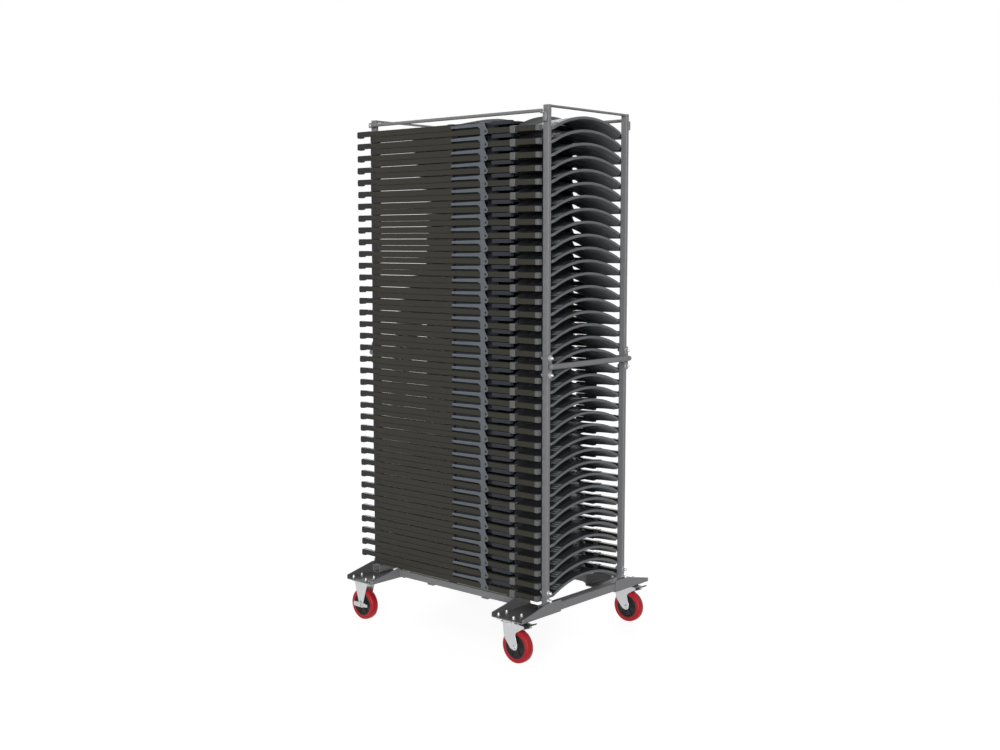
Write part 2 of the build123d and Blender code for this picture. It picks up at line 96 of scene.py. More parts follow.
# Push bars and retaining bars
PUSH_X = 447.6
PUSH_Z = 1021.0
PUSH_HALF = 227.0
PUSH_PAD_HALF_Y = 12.5
PUSH_PAD_HALF_Z = 42.0
PUSH_PAD_SHEET = 3.0
PUSH_BOLT_RISE = 29.0
RETAINER_Y = 237.5
RETAINER_Z = 1880.0
RETAINER_R = 6.0
RETAINER_END_X = 414.5
RETAINER_BLOCK_HALF = 9.0
RETAINER_GAP = 0.3
HOOK_X = POST_X - 12.0
HOOK_WIDTH = 8.0
BOSS_X = (POST_X - 5.5, POST_X + 11.5)
BOSS_Z = (1843.0, 1877.0)
BOSS_DEPTH = 13.5
STUD_R = 4.0
STUD_HEAD_SHARE = 0.55

# Castors
CASTOR_Y = 325.0
SWIVEL_X = 354.0
WHEEL_X = 386.0
RIGID_X = -391.0
AXLE_Z = 60.0
AXLE_R = 5.9
FORK_INNER = 18.5
FORK_OUTER = 21.5
CASTOR_PAD_X = 47.5
CASTOR_PAD_Y = 32.5
CASTOR_PAD_SHEET = 3.0
CASTOR_BOLTS_X = (-34.5, 34.5)
CASTOR_BOLTS_Y = (-25.0, 17.0)
CASTOR_NUT_SHARE = 0.78
CASTOR_HEAD_SHARE = 0.86
PEDAL_X = SWIVEL_X + 42.0
PEDAL_Z = 134.0
PEDAL_HALF = 17.6
RELEASE_HALF = 12.0
LEVER_THICKNESS = 4.0
LEVER_GAP = 0.3
LEVER_GRIP = 4.6

# Chairs
CHAIR_COUNT = 37
CHAIR_PITCH = 44.8
CHAIR_FIRST_Z = 211.0
CHAIR_DRIFT_X = 0.9
CHAIR_DRIFT_Y = 0.4
TUBE_INNER_Y = 233.5
TUBE_OUTER_Y = 251.5


def move(x, y, z):
    return Matrix.Translation((x, y, z))


def turned(degrees, axis):
    return Matrix.Rotation(math.radians(degrees), 4, axis)


IDENTITY = Matrix.Identity(4)
ALONG_X = turned(90, "Y")
ALONG_Y = turned(90, "X")
UPSIDE_DOWN = turned(180, "X")
FLIP_X = Matrix.Scale(-1, 4, (1, 0, 0))
FLIP_Y = Matrix.Scale(-1, 4, (0, 1, 0))
BOTH_SIDES = (IDENTITY, FLIP_Y)
BOTH_ENDS = (IDENTITY, FLIP_X)
SIDES = (("near", IDENTITY), ("far", FLIP_Y))
FOUR_CORNERS = (IDENTITY, FLIP_X, FLIP_Y, FLIP_X @ FLIP_Y)


# Modelling helpers


def fresh():
    """An empty mesh with a mark for worn edges, which also lays painted light on the chair panels' rims,
    and a mark for painted light, painted shade and tone.
    """
    bm = bmesh.new()
    bm.faces.layers.float.new(WORN_AND_LIT_EDGE)
    bm.verts.layers.float.new(LIGHT_SHADE_TONE)
    return bm


def gather(bm, shape, places=(IDENTITY,)):
    """Copy a shape into a piece once for each place, and free it."""
    for place in places:
        mesh = bpy.data.meshes.new("part")
        shape.to_mesh(mesh)
        mesh.transform(place)
        bm.from_mesh(mesh)
        bpy.data.meshes.remove(mesh)
    shape.free()


def placed(places, *shapes):
    """A piece of shapes that all stand at the same places."""
    bm = fresh()
    for shape in shapes:
        gather(bm, shape, places)
    return bm


def soften(bm, edges, width, segments=2):
    """Round edges and mark the new faces as places that wear; on the chair panels the same mark lays
    painted light on the rims.
    """
    worn = bm.faces.layers.float[WORN_AND_LIT_EDGE]
    made = bmesh.ops.bevel(
        bm, geom=list(edges), offset=width, offset_type="OFFSET", affect="EDGES",
        segments=segments, profile=0.5, material=-1, clamp_overlap=True,
    )
    for face in made["faces"]:
        face[worn] = 1.0


def face_outward(bm):
    bmesh.ops.recalc_face_normals(bm, faces=bm.faces)


def cut_across(bm, point, normal):
    """Add edges where a plane meets a mesh."""
    geom = bm.verts[:] + bm.edges[:] + bm.faces[:]
    bmesh.ops.bisect_plane(bm, geom=geom, plane_co=point, plane_no=normal)


def sharp_edges(bm, angle=0.6):
    return [e for e in bm.edges if len(e.link_faces) == 2 and e.calc_face_angle(0) > angle]


def box(low, high):
    bm = fresh()
    low, high = Vector(low), Vector(high)
    bmesh.ops.create_cube(bm, size=1.0)
    bmesh.ops.scale(bm, vec=high - low, verts=bm.verts)
    bmesh.ops.translate(bm, vec=(low + high) / 2, verts=bm.verts)
    return bm


def rounded_box(low, high, radius, segments=2):
    bm = box(low, high)
    soften(bm, bm.edges, radius, segments)
    return bm


def direction(edge):
    return (edge.verts[1].co - edge.verts[0].co).normalized()


def edges_along(bm, axis):
    return [e for e in bm.edges if abs(direction(e)[axis]) > 0.9]


def section_bar(axis, low, high, corner, end_round, segments=3):
    """A straight bar along an axis with rounded corners to its section."""
    bm = box(low, high)
    soften(bm, edges_along(bm, axis), corner, segments)
    ends = (low[axis], high[axis])
    rims = [
        e for e in bm.edges
        if any(all(abs(v.co[axis] - end) < 0.01 for v in e.verts) for end in ends)
    ]
    soften(bm, rims, end_round)
    return bm


def new_verts(made):
    return [v for v in made["geom"] if isinstance(v, bmesh.types.BMVert)]


def hollow_ends(bm, axis, wall, depth):
    """Sink the end faces of a bar so that it shows as a tube."""
    for side in (1, -1):
        end = max(bm.faces, key=lambda f: side * f.calc_center_median()[axis])
        bmesh.ops.inset_region(bm, faces=[end], thickness=wall, use_even_offset=True)
        made = bmesh.ops.extrude_face_region(bm, geom=[end])
        push = Vector((0, 0, 0))
        push[axis] = -side * depth
        bmesh.ops.translate(bm, vec=push, verts=new_verts(made))
        bmesh.ops.delete(bm, geom=[end], context="FACES_ONLY")


def plate(outline, push, radius):
    """A flat outline pushed to a plate, with its rims rounded."""
    bm = fresh()
    face = bm.faces.new([bm.verts.new(p) for p in outline])
    made = bmesh.ops.extrude_face_region(bm, geom=[face])
    bmesh.ops.translate(bm, vec=push, verts=new_verts(made))
    face_outward(bm)
    along = Vector(push).normalized()
    rims = [e for e in bm.edges if abs(direction(e).dot(along)) < 0.5]
    soften(bm, rims, radius)
    return bm


def corner_plate(low, high, axis, corner, segments):
    """A plate with rounded corners and slightly rounded rims."""
    bm = box(low, high)
    soften(bm, edges_along(bm, axis), corner, segments)
    soften(bm, sharp_edges(bm, 0.9), 0.6)
    return bm


def lathe(profile, steps, closed=False):
    """Turn a profile of (radius, height) points about Z."""
    bm = fresh()
    verts = [bm.verts.new((r, 0, h)) for r, h in profile]
    chain = verts + verts[:1] if closed else verts
    edges = [bm.edges.new(pair) for pair in zip(chain, chain[1:])]
    bmesh.ops.spin(
        bm, geom=verts + edges, cent=(0, 0, 0), axis=(0, 0, 1), angle=2 * math.pi,
        steps=steps, use_merge=True,
    )
    bmesh.ops.remove_doubles(bm, verts=bm.verts, dist=1e-3)
    face_outward(bm)
    return bm


def hexagon(across, height, chamfer=0.7):
    """A hexagon standing on Z = 0."""
    bm = fresh()
    radius = across / math.sqrt(3)
    bmesh.ops.create_cone(bm, cap_ends=True, segments=6, radius1=radius, radius2=radius, depth=height)
    bmesh.ops.translate(bm, vec=(0, 0, height / 2), verts=bm.verts)
    soften(bm, bm.edges, chamfer)
    return bm


def cap_nut():
    """A domed nut on its washer, standing on Z = 0."""
    bm = fresh()
    gather(bm, lathe([(0, 0), (8.6, 0), (8.9, 0.4), (8.9, 1.2), (8.5, 1.6), (0, 1.6)], 20))
    gather(bm, hexagon(13.0, 6.5), [move(0, 0, 1.6)])
    dome = [(6.2, 7.8), (6.1, 9.6), (5.5, 11.8), (4.3, 13.6), (2.4, 14.8), (0, 15.2)]
    gather(bm, lathe(dome, 16))
    return bm


def bolt_head():
    """A hexagon head on its washer, standing on Z = 0."""
    bm = fresh()
    gather(bm, lathe([(0, 0), (8.4, 0), (8.6, 0.4), (8.6, 1.2), (8.2, 1.6), (0, 1.6)], 20))
    gather(bm, hexagon(13.0, 5.3), [move(0, 0, 1.6)])
    return bm


def weld_run(start, end, size, step=2.0):
    """A row of overlapping beads between two points."""
    bm = fresh()
    start, end = Vector(start), Vector(end)
    count = max(2, round((end - start).length / step))
    for i in range(count + 1):
        bead = fresh()
        bmesh.ops.create_uvsphere(bead, u_segments=6, v_segments=4, radius=size)
        gather(bm, bead, [Matrix.Translation(start.lerp(end, i / count))])
    return bm


def add_object(name, data):
    made = bpy.data.objects.new(name, data)
    bpy.context.collection.objects.link(made)
    return made


def finish_piece(name, bm, body, material, *nodes):
    """Move a piece to the shared frame and hand it to its body."""
    face_outward(bm)
    for edge in bm.edges:
        edge.smooth = len(edge.link_faces) == 2 and edge.calc_face_angle(0) < SMOOTH_ANGLE
    for face in bm.faces:
        face.smooth = True
    bmesh.ops.translate(bm, vec=(POST_MIDDLE_X, 0, 0), verts=bm.verts)
    bmesh.ops.scale(bm, vec=(MM, MM, MM), verts=bm.verts)
    mesh = bpy.data.meshes.new(name)
    bm.to_mesh(mesh)
    bm.free()
    piece = add_object(name, mesh)
    mesh.materials.append(material)
    normals = piece.modifiers.new("even_normals", "WEIGHTED_NORMAL")
    normals.keep_sharp = True
    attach(piece, body)
    if nodes:
        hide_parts(*nodes)


# Finishes


class Nodes:
    """Short calls for building one node tree."""

    def __init__(self, tree):
        self.tree = tree

    def add(self, kind, **settings):
        node = self.tree.nodes.new(kind)
        for key, value in settings.items():
            setattr(node, key, value)
        return node

    def link(self, out, into):
        self.tree.links.new(out, into)

    def feed(self, sockets, values):
        """Set sockets to plain values, or link them to outputs."""
        for key, value in values.items():
            if isinstance(value, (int, float, tuple)):
                sockets[key].default_value = value
            else:
                self.link(value, sockets[key])

    def math(self, operation, a, b, clamp=False):
        node = self.add("ShaderNodeMath", operation=operation, use_clamp=clamp)
        self.feed(node.inputs, {0: a, 1: b})
        return node.outputs[0]

    def noise(self, place, scale, detail, roughness=0.5):
        node = self.add("ShaderNodeTexNoise")
        values = {"Vector": place, "Scale": scale, "Detail": detail, "Roughness": roughness}
        self.feed(node.inputs, values)
        return node.outputs["Fac"]

    def spread(self, value, low, high, to_low=0.0, to_high=1.0):
        node = self.add("ShaderNodeMapRange", clamp=True)
        self.feed(node.inputs, {
            "Value": value, "From Min": low, "From Max": high, "To Min": to_low, "To Max": to_high,
        })
        return node.outputs["Result"]

    def mix(self, factor, a, b, blend="MIX"):
        node = self.add("ShaderNodeMix", data_type="RGBA", blend_type=blend)
        self.feed(node.inputs, {0: factor, 6: a, 7: b})
        return node.outputs[2]

    def mark(self, name):
        return self.add("ShaderNodeAttribute", attribute_name=name).outputs["Fac"]


def new_group(name, inputs, output):
    """A node group with named values going in and one coming out."""
    tree = bpy.data.node_groups.new(name, "ShaderNodeTree")
    for label in inputs:
        tree.interface.new_socket(label, in_out="INPUT", socket_type="NodeSocketFloat")
    tree.interface.new_socket(output, in_out="OUTPUT", socket_type="NodeSocketFloat")
    n = Nodes(tree)
    place = n.add("ShaderNodeTexCoord").outputs["Object"]
    return tree, n, place, n.add("NodeGroupInput").outputs, n.add("NodeGroupOutput").inputs


SCRATCH_SCALE = (30.0, 30.0, 220.0)


def make_tone_group():
    """Cloudy and fine tone changes over a surface, about 1."""
    inputs = ("Cloud Scale", "Cloud Spread", "Speck Scale", "Speck Spread")
    tree, n, place, given, out = new_group("tone_variation", inputs, "Tone")
    cloud = n.noise(place, given["Cloud Scale"], 4.0)
    speck = n.noise(place, given["Speck Scale"], 1.0)
    cloud = n.math("MULTIPLY", n.math("SUBTRACT", cloud, 0.5), given["Cloud Spread"])
    speck = n.math("MULTIPLY", n.math("SUBTRACT", speck, 0.5), given["Speck Spread"])
    n.link(n.math("ADD", n.math("ADD", cloud, speck), 1.0), out["Tone"])
    return tree


def make_wear_group():
    """Where paint has rubbed off: broken patches along the rounded edges, and a few scuffs."""
    inputs = ("Patch Scale", "Edge Amount", "Scuff Amount")
    tree, n, place, given, out = new_group("edge_wear", inputs, "Mask")
    patch = n.spread(n.noise(place, given["Patch Scale"], 5.0, 0.65), 0.52, 0.66)
    rubbed = n.math("MULTIPLY", n.math("MULTIPLY", n.mark(WORN_AND_LIT_EDGE), patch), given["Edge Amount"])
    stretch = n.add("ShaderNodeMapping")
    n.feed(stretch.inputs, {"Vector": place, "Scale": SCRATCH_SCALE})
    scratch = n.spread(n.noise(stretch.outputs["Vector"], 1.0, 2.0), 0.7, 0.74)
    area = n.spread(n.noise(place, 9.0, 2.0), 0.55, 0.65)
    scuff = n.math("MULTIPLY", n.math("MULTIPLY", scratch, area), given["Scuff Amount"])
    n.link(n.math("MAXIMUM", rubbed, scuff), out["Mask"])
    return tree


def make_grain_group():
    """Heights of an orange peel or moulded texture over a finer grain."""
    inputs = ("Peel Scale", "Grain Scale", "Grain Share")
    tree, n, place, given, out = new_group("surface_grain", inputs, "Height")
    peel = n.noise(place, given["Peel Scale"], 2.0)
    grain = n.noise(place, given["Grain Scale"], 1.0)
    n.link(n.math("ADD", peel, n.math("MULTIPLY", grain, given["Grain Share"])), out["Height"])
    return tree


def make_dust_group():
    """Dust that lies on surfaces facing up, in thin uneven drifts."""
    tree, n, place, given, out = new_group("settled_dust", ("Amount",), "Mask")
    split = n.add("ShaderNodeSeparateXYZ")
    n.link(n.add("ShaderNodeNewGeometry").outputs["Normal"], split.inputs[0])
    up = n.spread(split.outputs["Z"], 0.5, 1.0)
    drift = n.spread(n.noise(place, 25.0, 5.0, 0.6), 0.35, 0.7, 0.3, 1.0)
    n.link(n.math("MULTIPLY", n.math("MULTIPLY", up, drift), given["Amount"]), out["Mask"])
    return tree


TONE = make_tone_group()
WEAR = make_wear_group()
GRAIN = make_grain_group()
DUST = make_dust_group()
DUST_COLOUR = (0.33, 0.32, 0.30, 1.0)
DUST_ROUGHENS = 0.3
ROUGH_SPREAD = 0.07
GRAIN_DEPTH = 0.0005


def place_group(n, tree, *values):
    """Put a shared effect into a material with its own values."""
    node = n.add("ShaderNodeGroup", node_tree=tree)
    for socket, value in zip(node.inputs, values):
        socket.default_value = value
    return node.outputs[0]


def finish(name, slot, colour, rough, cloud, speck, wear, grain, bump, dust, metal=0.0, sheen=0.5,
           bare=(0.4, 0.4, 0.41), rim=None, under=None):
    """A finish; the slot it is meant for is not used. Cloud and speck are the scale and spread of tone
    changes, wear is the scale of its patches and the amounts of worn edge and scuff, and grain is
    the scale of the peel, the scale of the grain and its share."""
    material = bpy.data.materials.new(name)
    material.use_nodes = True
    n = Nodes(material.node_tree)
    shader = material.node_tree.nodes["Principled BSDF"]
    tone = place_group(n, TONE, *cloud, *speck)
    worn = place_group(n, WEAR, *wear)
    height = place_group(n, GRAIN, *grain)
    dusty = place_group(n, DUST, dust)
    rgb = (*colour, 1.0)
    # The rim colour is painted light on the chair panels' rims; the under colour is painted shade inside
    # the castor trays, painted light on the panels' undersides and seat crowns, and a paler tone on the
    # seat rails.
    for mark, other in ((WORN_AND_LIT_EDGE, rim), (LIGHT_SHADE_TONE, under)):
        if other:
            rgb = n.mix(n.mark(mark), rgb, (*other, 1.0))
    rgb = n.mix(1.0, rgb, tone, "MULTIPLY")
    rgb = n.mix(worn, rgb, (*bare, 1.0))
    rgb = n.mix(dusty, rgb, DUST_COLOUR)
    tone_rough = n.spread(tone, 0.85, 1.15, rough + ROUGH_SPREAD, rough - ROUGH_SPREAD)
    dusty_rough = n.math("ADD", tone_rough, n.math("MULTIPLY", dusty, DUST_ROUGHENS), True)
    relief = n.add("ShaderNodeBump")
    n.feed(relief.inputs, {"Strength": bump, "Distance": GRAIN_DEPTH, "Height": height})
    n.feed(shader.inputs, {
        "Base Color": rgb, "Roughness": dusty_rough, "Metallic": metal, "Specular IOR Level": sheen,
        "Normal": relief.outputs["Normal"],
    })
    return material


# The under colour is painted shade on the inward faces of the castor trays.
grey_paint = finish(
    "grey_powder_paint", "grey_paint", (0.205, 0.205, 0.213), 0.5, bump=0.12, dust=0.10,
    cloud=(5.0, 0.12), speck=(900.0, 0.06), wear=(70.0, 0.35, 0.12), grain=(700.0, 2600.0, 0.25),
    under=(0.10, 0.099, 0.102),
)
strip_paint = finish(
    "deck_strip_paint", "deck_strip", (0.17, 0.17, 0.165), 0.6, bump=0.15, dust=0.15,
    cloud=(12.0, 0.2), speck=(700.0, 0.1), wear=(50.0, 0.6, 0.4), grain=(600.0, 2200.0, 0.4),
)
zinc_steel = finish(
    "zinc_plated_steel", "zinc_steel", (0.60, 0.61, 0.62), 0.34, bump=0.05, dust=0.05,
    cloud=(45.0, 0.14), speck=(600.0, 0.08), wear=(80.0, 0.3, 0.2), grain=(300.0, 3000.0, 0.5),
    metal=0.85, bare=(0.72, 0.72, 0.72),
)
red_tyre = finish(
    "red_tyre", "red_tyre", (0.445, 0.012, 0.019), 0.42, bump=0.08, dust=0.06,
    cloud=(30.0, 0.15), speck=(500.0, 0.06), wear=(90.0, 0.2, 0.15), grain=(250.0, 1800.0, 0.5),
    sheen=0.3, bare=(0.42, 0.06, 0.06),
)
black_plastic = finish(
    "black_moulding", "black_plastic", (0.020, 0.020, 0.021), 0.5, bump=0.15, dust=0.06,
    cloud=(40.0, 0.25), speck=(800.0, 0.15), wear=(90.0, 0.15, 0.1), grain=(900.0, 3000.0, 0.5),
    sheen=0.25, bare=(0.07, 0.07, 0.07),
)
pale_plastic = finish(
    "pale_moulding", "pale_plastic", (0.135, 0.138, 0.140), 0.5, bump=0.1, dust=0.05,
    cloud=(30.0, 0.12), speck=(900.0, 0.06), wear=(80.0, 0.2, 0.1), grain=(900.0, 3000.0, 0.5),
    sheen=0.3, bare=(0.30, 0.30, 0.29),
)
lever_paint = finish(
    "lever_pale_paint", "pale_plastic", (0.66, 0.66, 0.64), 0.4, bump=0.08, dust=0.05,
    cloud=(40.0, 0.1), speck=(900.0, 0.05), wear=(80.0, 0.4, 0.2), grain=(500.0, 3000.0, 0.4),
    bare=(0.35, 0.35, 0.36),
)
chair_paint = finish(
    "chair_dark_paint", "chair_paint", (0.031, 0.029, 0.022), 0.5, bump=0.1, dust=0.08,
    cloud=(4.0, 0.25), speck=(900.0, 0.1), wear=(60.0, 0.25, 0.1), grain=(700.0, 2600.0, 0.3),
    sheen=0.22, bare=(0.14, 0.14, 0.14),
)
hinge_paint = finish(
    "chair_hinge_paint", "chair_hinge", (0.125, 0.140, 0.158), 0.48, bump=0.1, dust=0.05,
    cloud=(10.0, 0.3), speck=(900.0, 0.08), wear=(80.0, 0.4, 0.15), grain=(700.0, 2600.0, 0.3),
    sheen=0.3, bare=(0.36, 0.36, 0.37),
)
# Both mouldings: the dark base colours stand in for the shade deep in the stack, painted shade. The rim
# colour is painted light on the rims and the under colour is painted light on the backs' undersides and
# the seats' crowns; it also gives the seat rails a paler tone.
PANEL = dict(
    bump=0.08, dust=0.03, speck=(1200.0, 0.1), wear=(50.0, 0.08, 0.08), grain=(1100.0, 3200.0, 0.5),
    bare=(0.16, 0.165, 0.17), rim=(0.125, 0.131, 0.139), under=(0.33, 0.34, 0.36),
)
seat_plastic = finish(
    "chair_seat_moulding", "chair_panel", (0.038, 0.042, 0.051), 0.8, cloud=(5.0, 0.2), sheen=0.06,
    **PANEL,
)
back_plastic = finish(
    "chair_back_moulding", "chair_panel", (0.031, 0.034, 0.039), 0.45, cloud=(7.0, 0.25), sheen=0.4,
    **PANEL,
)


# Chairs: one chair is modelled about its main tubes' level, then repeated up the stack

TUBE_X = (-400.0, 397.0)
TUBE_RISE = 10.0
BRACE = 12.0
FRONT_BRACE = (-268.0, -3.0)
REAR_BRACE = (-358.0, 16.4)
LEG_X = (-474.0, 6.0)
LEG_BOTTOM = 10.7
LEG_TOP = 33.5
SWAGE_X = (-384.0, -374.0)
SWAGE_SHARE = 17 / 22
BOOT = [
    (-486.2, 29.4), (-483.5, 34.1), (-416, 34.1), (-414, 32.3), (-414, 14.6), (-463, 14.6),
    (-467, 10.5), (-482, 9.7), (-486.2, 13.4),
]
BOOT_FIT = 0.8
FRONT_CAP = ((-412.6, -376.0), (-10.9, 15.6))
PLUG = ((-12.0, 12.0), (18.0, 34.6))
PLUG_INSET = 1.5
CLIP = ((283.0, 307.0), (-13.0, 12.6))
HEAD_CAP = ((396.0, 412.2), (-9.8, 9.8))
HINGE = [
    (10.4, 16.8), (8.8, 18.2), (8.8, 25), (10.4, 26.4), (142, 29.6), (152, 33), (167, 33),
    (168.5, 27), (172, 19), (176, 12), (181, 6), (184, 1.5), (184, -3.5), (181, -8.6),
    (175, -11.3), (166, -11.6), (149, -11.6), (149, 7), (145.5, 11.5), (137, 17.2),
]
HINGE_SHEET = 3.0
RIVET = [(4.2, 0), (4.1, 0.9), (3.2, 1.8), (1.7, 2.2), (0, 2.3)]
RIVET_X = 19.0
RIVET_Z = 22.4
PIN = [(4.4, 0), (4.4, 0.8), (3.6, 1.3), (3.0, 0.9), (2.6, 0.4), (0, 0.4)]
PIN_X = 174.0
SCALLOP_START_X = 150.0
SCALLOP_BOTTOM = 10.0
FAR_SCALLOP = 11.0

stack_draw = random.Random(11)


def chair_place(level):
    """A chair's place in the stack, a little out of line."""
    x = stack_draw.uniform(-CHAIR_DRIFT_X, CHAIR_DRIFT_X)
    y = stack_draw.uniform(-CHAIR_DRIFT_Y, CHAIR_DRIFT_Y)
    return move(x, y, CHAIR_FIRST_Z + level * CHAIR_PITCH)


CHAIR_PLACES = [chair_place(level) for level in range(CHAIR_COUNT)]


def stack_piece(name, chair, material, *nodes):
    finish_piece(name, placed(CHAIR_PLACES, chair), "chair_stack", material, *nodes)


def tube_block(xs, zs, outer_fit, inner_fit, radius):
    """A rounded block on the near tube, past its outer and inner face by a fit."""
    low = (xs[0], -TUBE_OUTER_Y - outer_fit, zs[0])
    return rounded_box(low, (xs[1], -TUBE_INNER_Y + inner_fit, zs[1]), radius)


def brace(x, z):
    """A square bar between a chair's two sides."""
    end = TUBE_INNER_Y + 1
    return section_bar(1, (x, -end, z), (x + BRACE, end, z + BRACE), 1.5, 0.4)


def crowned_bar(start, end, low, high, up):
    """A chair tube along X on the near side, crowned on top (up = 1) or underneath (up = -1)."""
    half = (TUBE_OUTER_Y - TUBE_INNER_Y) / 2
    middle, rise, y = (low + high) / 2, (high - low) / 2, -(TUBE_INNER_Y + TUBE_OUTER_Y) / 2
    section = [
        (half, rise - 1.8), (half - 0.7, rise - 1.1), (4.5, rise - 0.28), (0, rise), (-4.5, rise - 0.28),
        (-half + 0.7, rise - 1.1), (-half, rise - 1.8), (-half, -rise + 0.8), (-half + 0.8, -rise),
        (half - 0.8, -rise), (half, -rise + 0.8),
    ]
    return plate([(start, y + a, middle + up * b) for a, b in section], (end - start, 0, 0), 0.6)


def chair_tubes():
    """The two main tubes, the brace between the front feet and the flats that hold the back."""
    bm = placed(BOTH_SIDES, crowned_bar(*TUBE_X, -TUBE_RISE, TUBE_RISE, -1))
    gather(bm, brace(*FRONT_BRACE))
    gather(bm, rounded_box(*BACK_STRIP, 1.2), BOTH_SIDES)
    return bm


def chair_legs():
    """The two rear legs, folded onto the main tubes and swaged at their feet, and their brace."""
    leg = crowned_bar(*LEG_X, LEG_BOTTOM, LEG_TOP, 1)
    for x in SWAGE_X:
        cut_across(leg, (x, 0, 0), (1, 0, 0))
    slim = [v for v in leg.verts if v.co.x < SWAGE_X[0] + 0.1]
    bmesh.ops.scale(leg, vec=(1, 1, SWAGE_SHARE), space=move(0, 0, -LEG_TOP), verts=slim)
    bm = placed(BOTH_SIDES, leg)
    gather(bm, brace(*REAR_BRACE))
    return bm


def chair_feet():
    """Boots on the rear legs with a heel that hooks down, caps on the front feet, and plugs in the
    rear legs' other ends."""
    inner, outer = -TUBE_INNER_Y + BOOT_FIT, -TUBE_OUTER_Y - BOOT_FIT
    boot = plate([(x, inner, z) for x, z in BOOT], (0, outer - inner, 0), 1.8)
    cap = tube_block(*FRONT_CAP, BOOT_FIT, BOOT_FIT, 2.0)
    return placed(BOTH_SIDES, boot, cap, tube_block(*PLUG, -PLUG_INSET, -PLUG_INSET, 1.0))


def hinge_buttons(profile, x, z):
    """A turned button on the face of each hinge plate."""
    spot = move(x, -TUBE_OUTER_Y - HINGE_SHEET, z) @ ALONG_Y
    return placed([m @ spot for m in BOTH_SIDES], lathe(profile, 10))


def chair_hinges():
    """The arm and pivot plate outside each tube, the far plate with a deeper scallop."""
    bm = fresh()
    for place, cut in zip(BOTH_SIDES, (0, FAR_SCALLOP)):
        outline = [
            (x - cut if x > SCALLOP_START_X and z > SCALLOP_BOTTOM else x, -TUBE_OUTER_Y, z)
            for x, z in HINGE
        ]
        gather(bm, plate(outline, (0, -HINGE_SHEET, 0), 0.7), [place])
    gather(bm, hinge_buttons(RIVET, RIVET_X, RIVET_Z))
    return bm


def chair_bumpers():
    """Pale clips that keep the chairs apart, and the caps on the tube heads."""
    clip = tube_block(*CLIP, 1.6, 0.6, 2.4)
    return placed(BOTH_SIDES, clip, tube_block(*HEAD_CAP, 0.5, 0.3, 2.2))


BACK_RADIUS = 440.0
BACK_HALF = 203.0
BACK_THICKNESS = 10.0
BACK_RIM = 2.6
# Bevels this close to the back's head end keep the rim colour: painted light.
BACK_END_BAND = 6.0
BACK_STRIP = ((274.0, -TUBE_INNER_Y, -9.0), (398.0, -BACK_HALF + 2, -1.0))
BACK_CREST = [
    (266, 63.5), (270, 57), (276, 50.5), (282, 47), (290, 45.5), (306, 45.5), (322, 46.5), (340, 48),
    (359, 49), (378, 49.5), (397, 50.5), (420, 51.5), (430, 52),
]
BACK_CORNERS = ((420, 0.35), (430, 1.0))
SLOT_STEP = 13.4
SLOT_WIDTH = 5.4
SLOTS_EACH_SIDE = 13
SLOT_ROWS = ((290, 322), (340, 378), (397, 420))
SEAT_RADIUS = 670.0
SEAT_EDGE = 35.0
SEAT_THICKNESS = 8.0
SEAT_CREST = [
    (-185, 44), (-168, 48), (-150, 51), (-110, 57.5), (-76, 63.5), (-38, 68.5), (0, 70.5), (28, 69.5),
    (56, 65), (82, 59), (105, 54.5), (130, 50), (138, 49), (145, 48), (187, 43), (194, 42.2),
    (220, 39.5), (240, 38), (254, 37), (262, 36.5),
]
SEAT_WIDTHS = {
    -185: 0.78, -168: 0.87, -150: 0.94, 138: 0.98, 145: 0.88, 187: 0.81, 194: 0.8, 220: 0.8, 240: 0.8,
    254: 0.79, 262: 0.77,
}
SEAT_BELL = 2.4
# Painted light on the seat: a share of the rim colour on its rounded edges, and a crown that grows paler
# with height; the rails get a slightly paler tone.
SEAT_RIM_MARK = 0.15
SEAT_RAIL_TONE = 0.035
SEAT_CROWN_LIGHT = 0.07
SEAT_CROWN_RISE = 12.0
SEAT_COLUMNS = 16
SEAT_RIM = 2.4
SEAT_RIM_HALF = TUBE_INNER_Y - 55.0
SEAT_SKIRT = ((-125.0, -TUBE_INNER_Y + 0.1, 8.0), (138.0, -TUBE_INNER_Y + 6, 29.0))
SEAT_LUG = ((234.0, -TUBE_INNER_Y, 25.0), (258.0, -178.0, 32.0))
SEAT_WALL = ((136.0, -206.0, 8.0), (188.0, -200.0, 33.0))
SEAT_RAIL = ((197.0, -TUBE_OUTER_Y + 3, 19.5), (283.0, -TUBE_INNER_Y + 3, 33.2))
RIM_BAND_X = 3.0
RIM_BAND_Y = 6.0
# Painted light on the backs' undersides: a share of the rim colour, and a pale under colour strongest
# just inside the head end and fading inward.
UNDERSIDE_MARK = 0.3
PALE_REACH = 110.0
PALE_START = 6.0
PALE_POWER = 1.5


def bowed_sheet(xs, spans, radius, is_slot=None):
    """A sheet with its crown at Z = 0: an edge along X, spun through one span after another."""
    bm = fresh()
    edge = [bm.verts.new((x, 0, radius)) for x in xs]
    last = edge + [bm.edges.new(pair) for pair in zip(edge, edge[1:])]
    bmesh.ops.transform(bm, matrix=Matrix.Rotation(sum(spans) / 2, 4, "X"), verts=bm.verts)
    for column, span in enumerate(spans):
        before = set(bm.faces)
        made = bmesh.ops.spin(bm, geom=last, cent=(0, 0, 0), axis=(1, 0, 0), angle=-span, steps=1)
        last = made["geom_last"]
        new = [f for f in bm.faces if f not in before]
        cut = [f for f in new if is_slot and is_slot(column, f.calc_center_median().x)]
        bmesh.ops.delete(bm, geom=cut, context="FACES_ONLY")
    bmesh.ops.remove_doubles(bm, verts=bm.verts, dist=1e-3)
    face_outward(bm)
    if sum(f.normal.z for f in bm.faces) < 0:
        bmesh.ops.reverse_faces(bm, faces=bm.faces)
    bmesh.ops.translate(bm, vec=(0, 0, -radius), verts=bm.verts)
    return bm


def row_at(bm, x):
    return [v for v in bm.verts if abs(v.co.x - x) < 0.01]


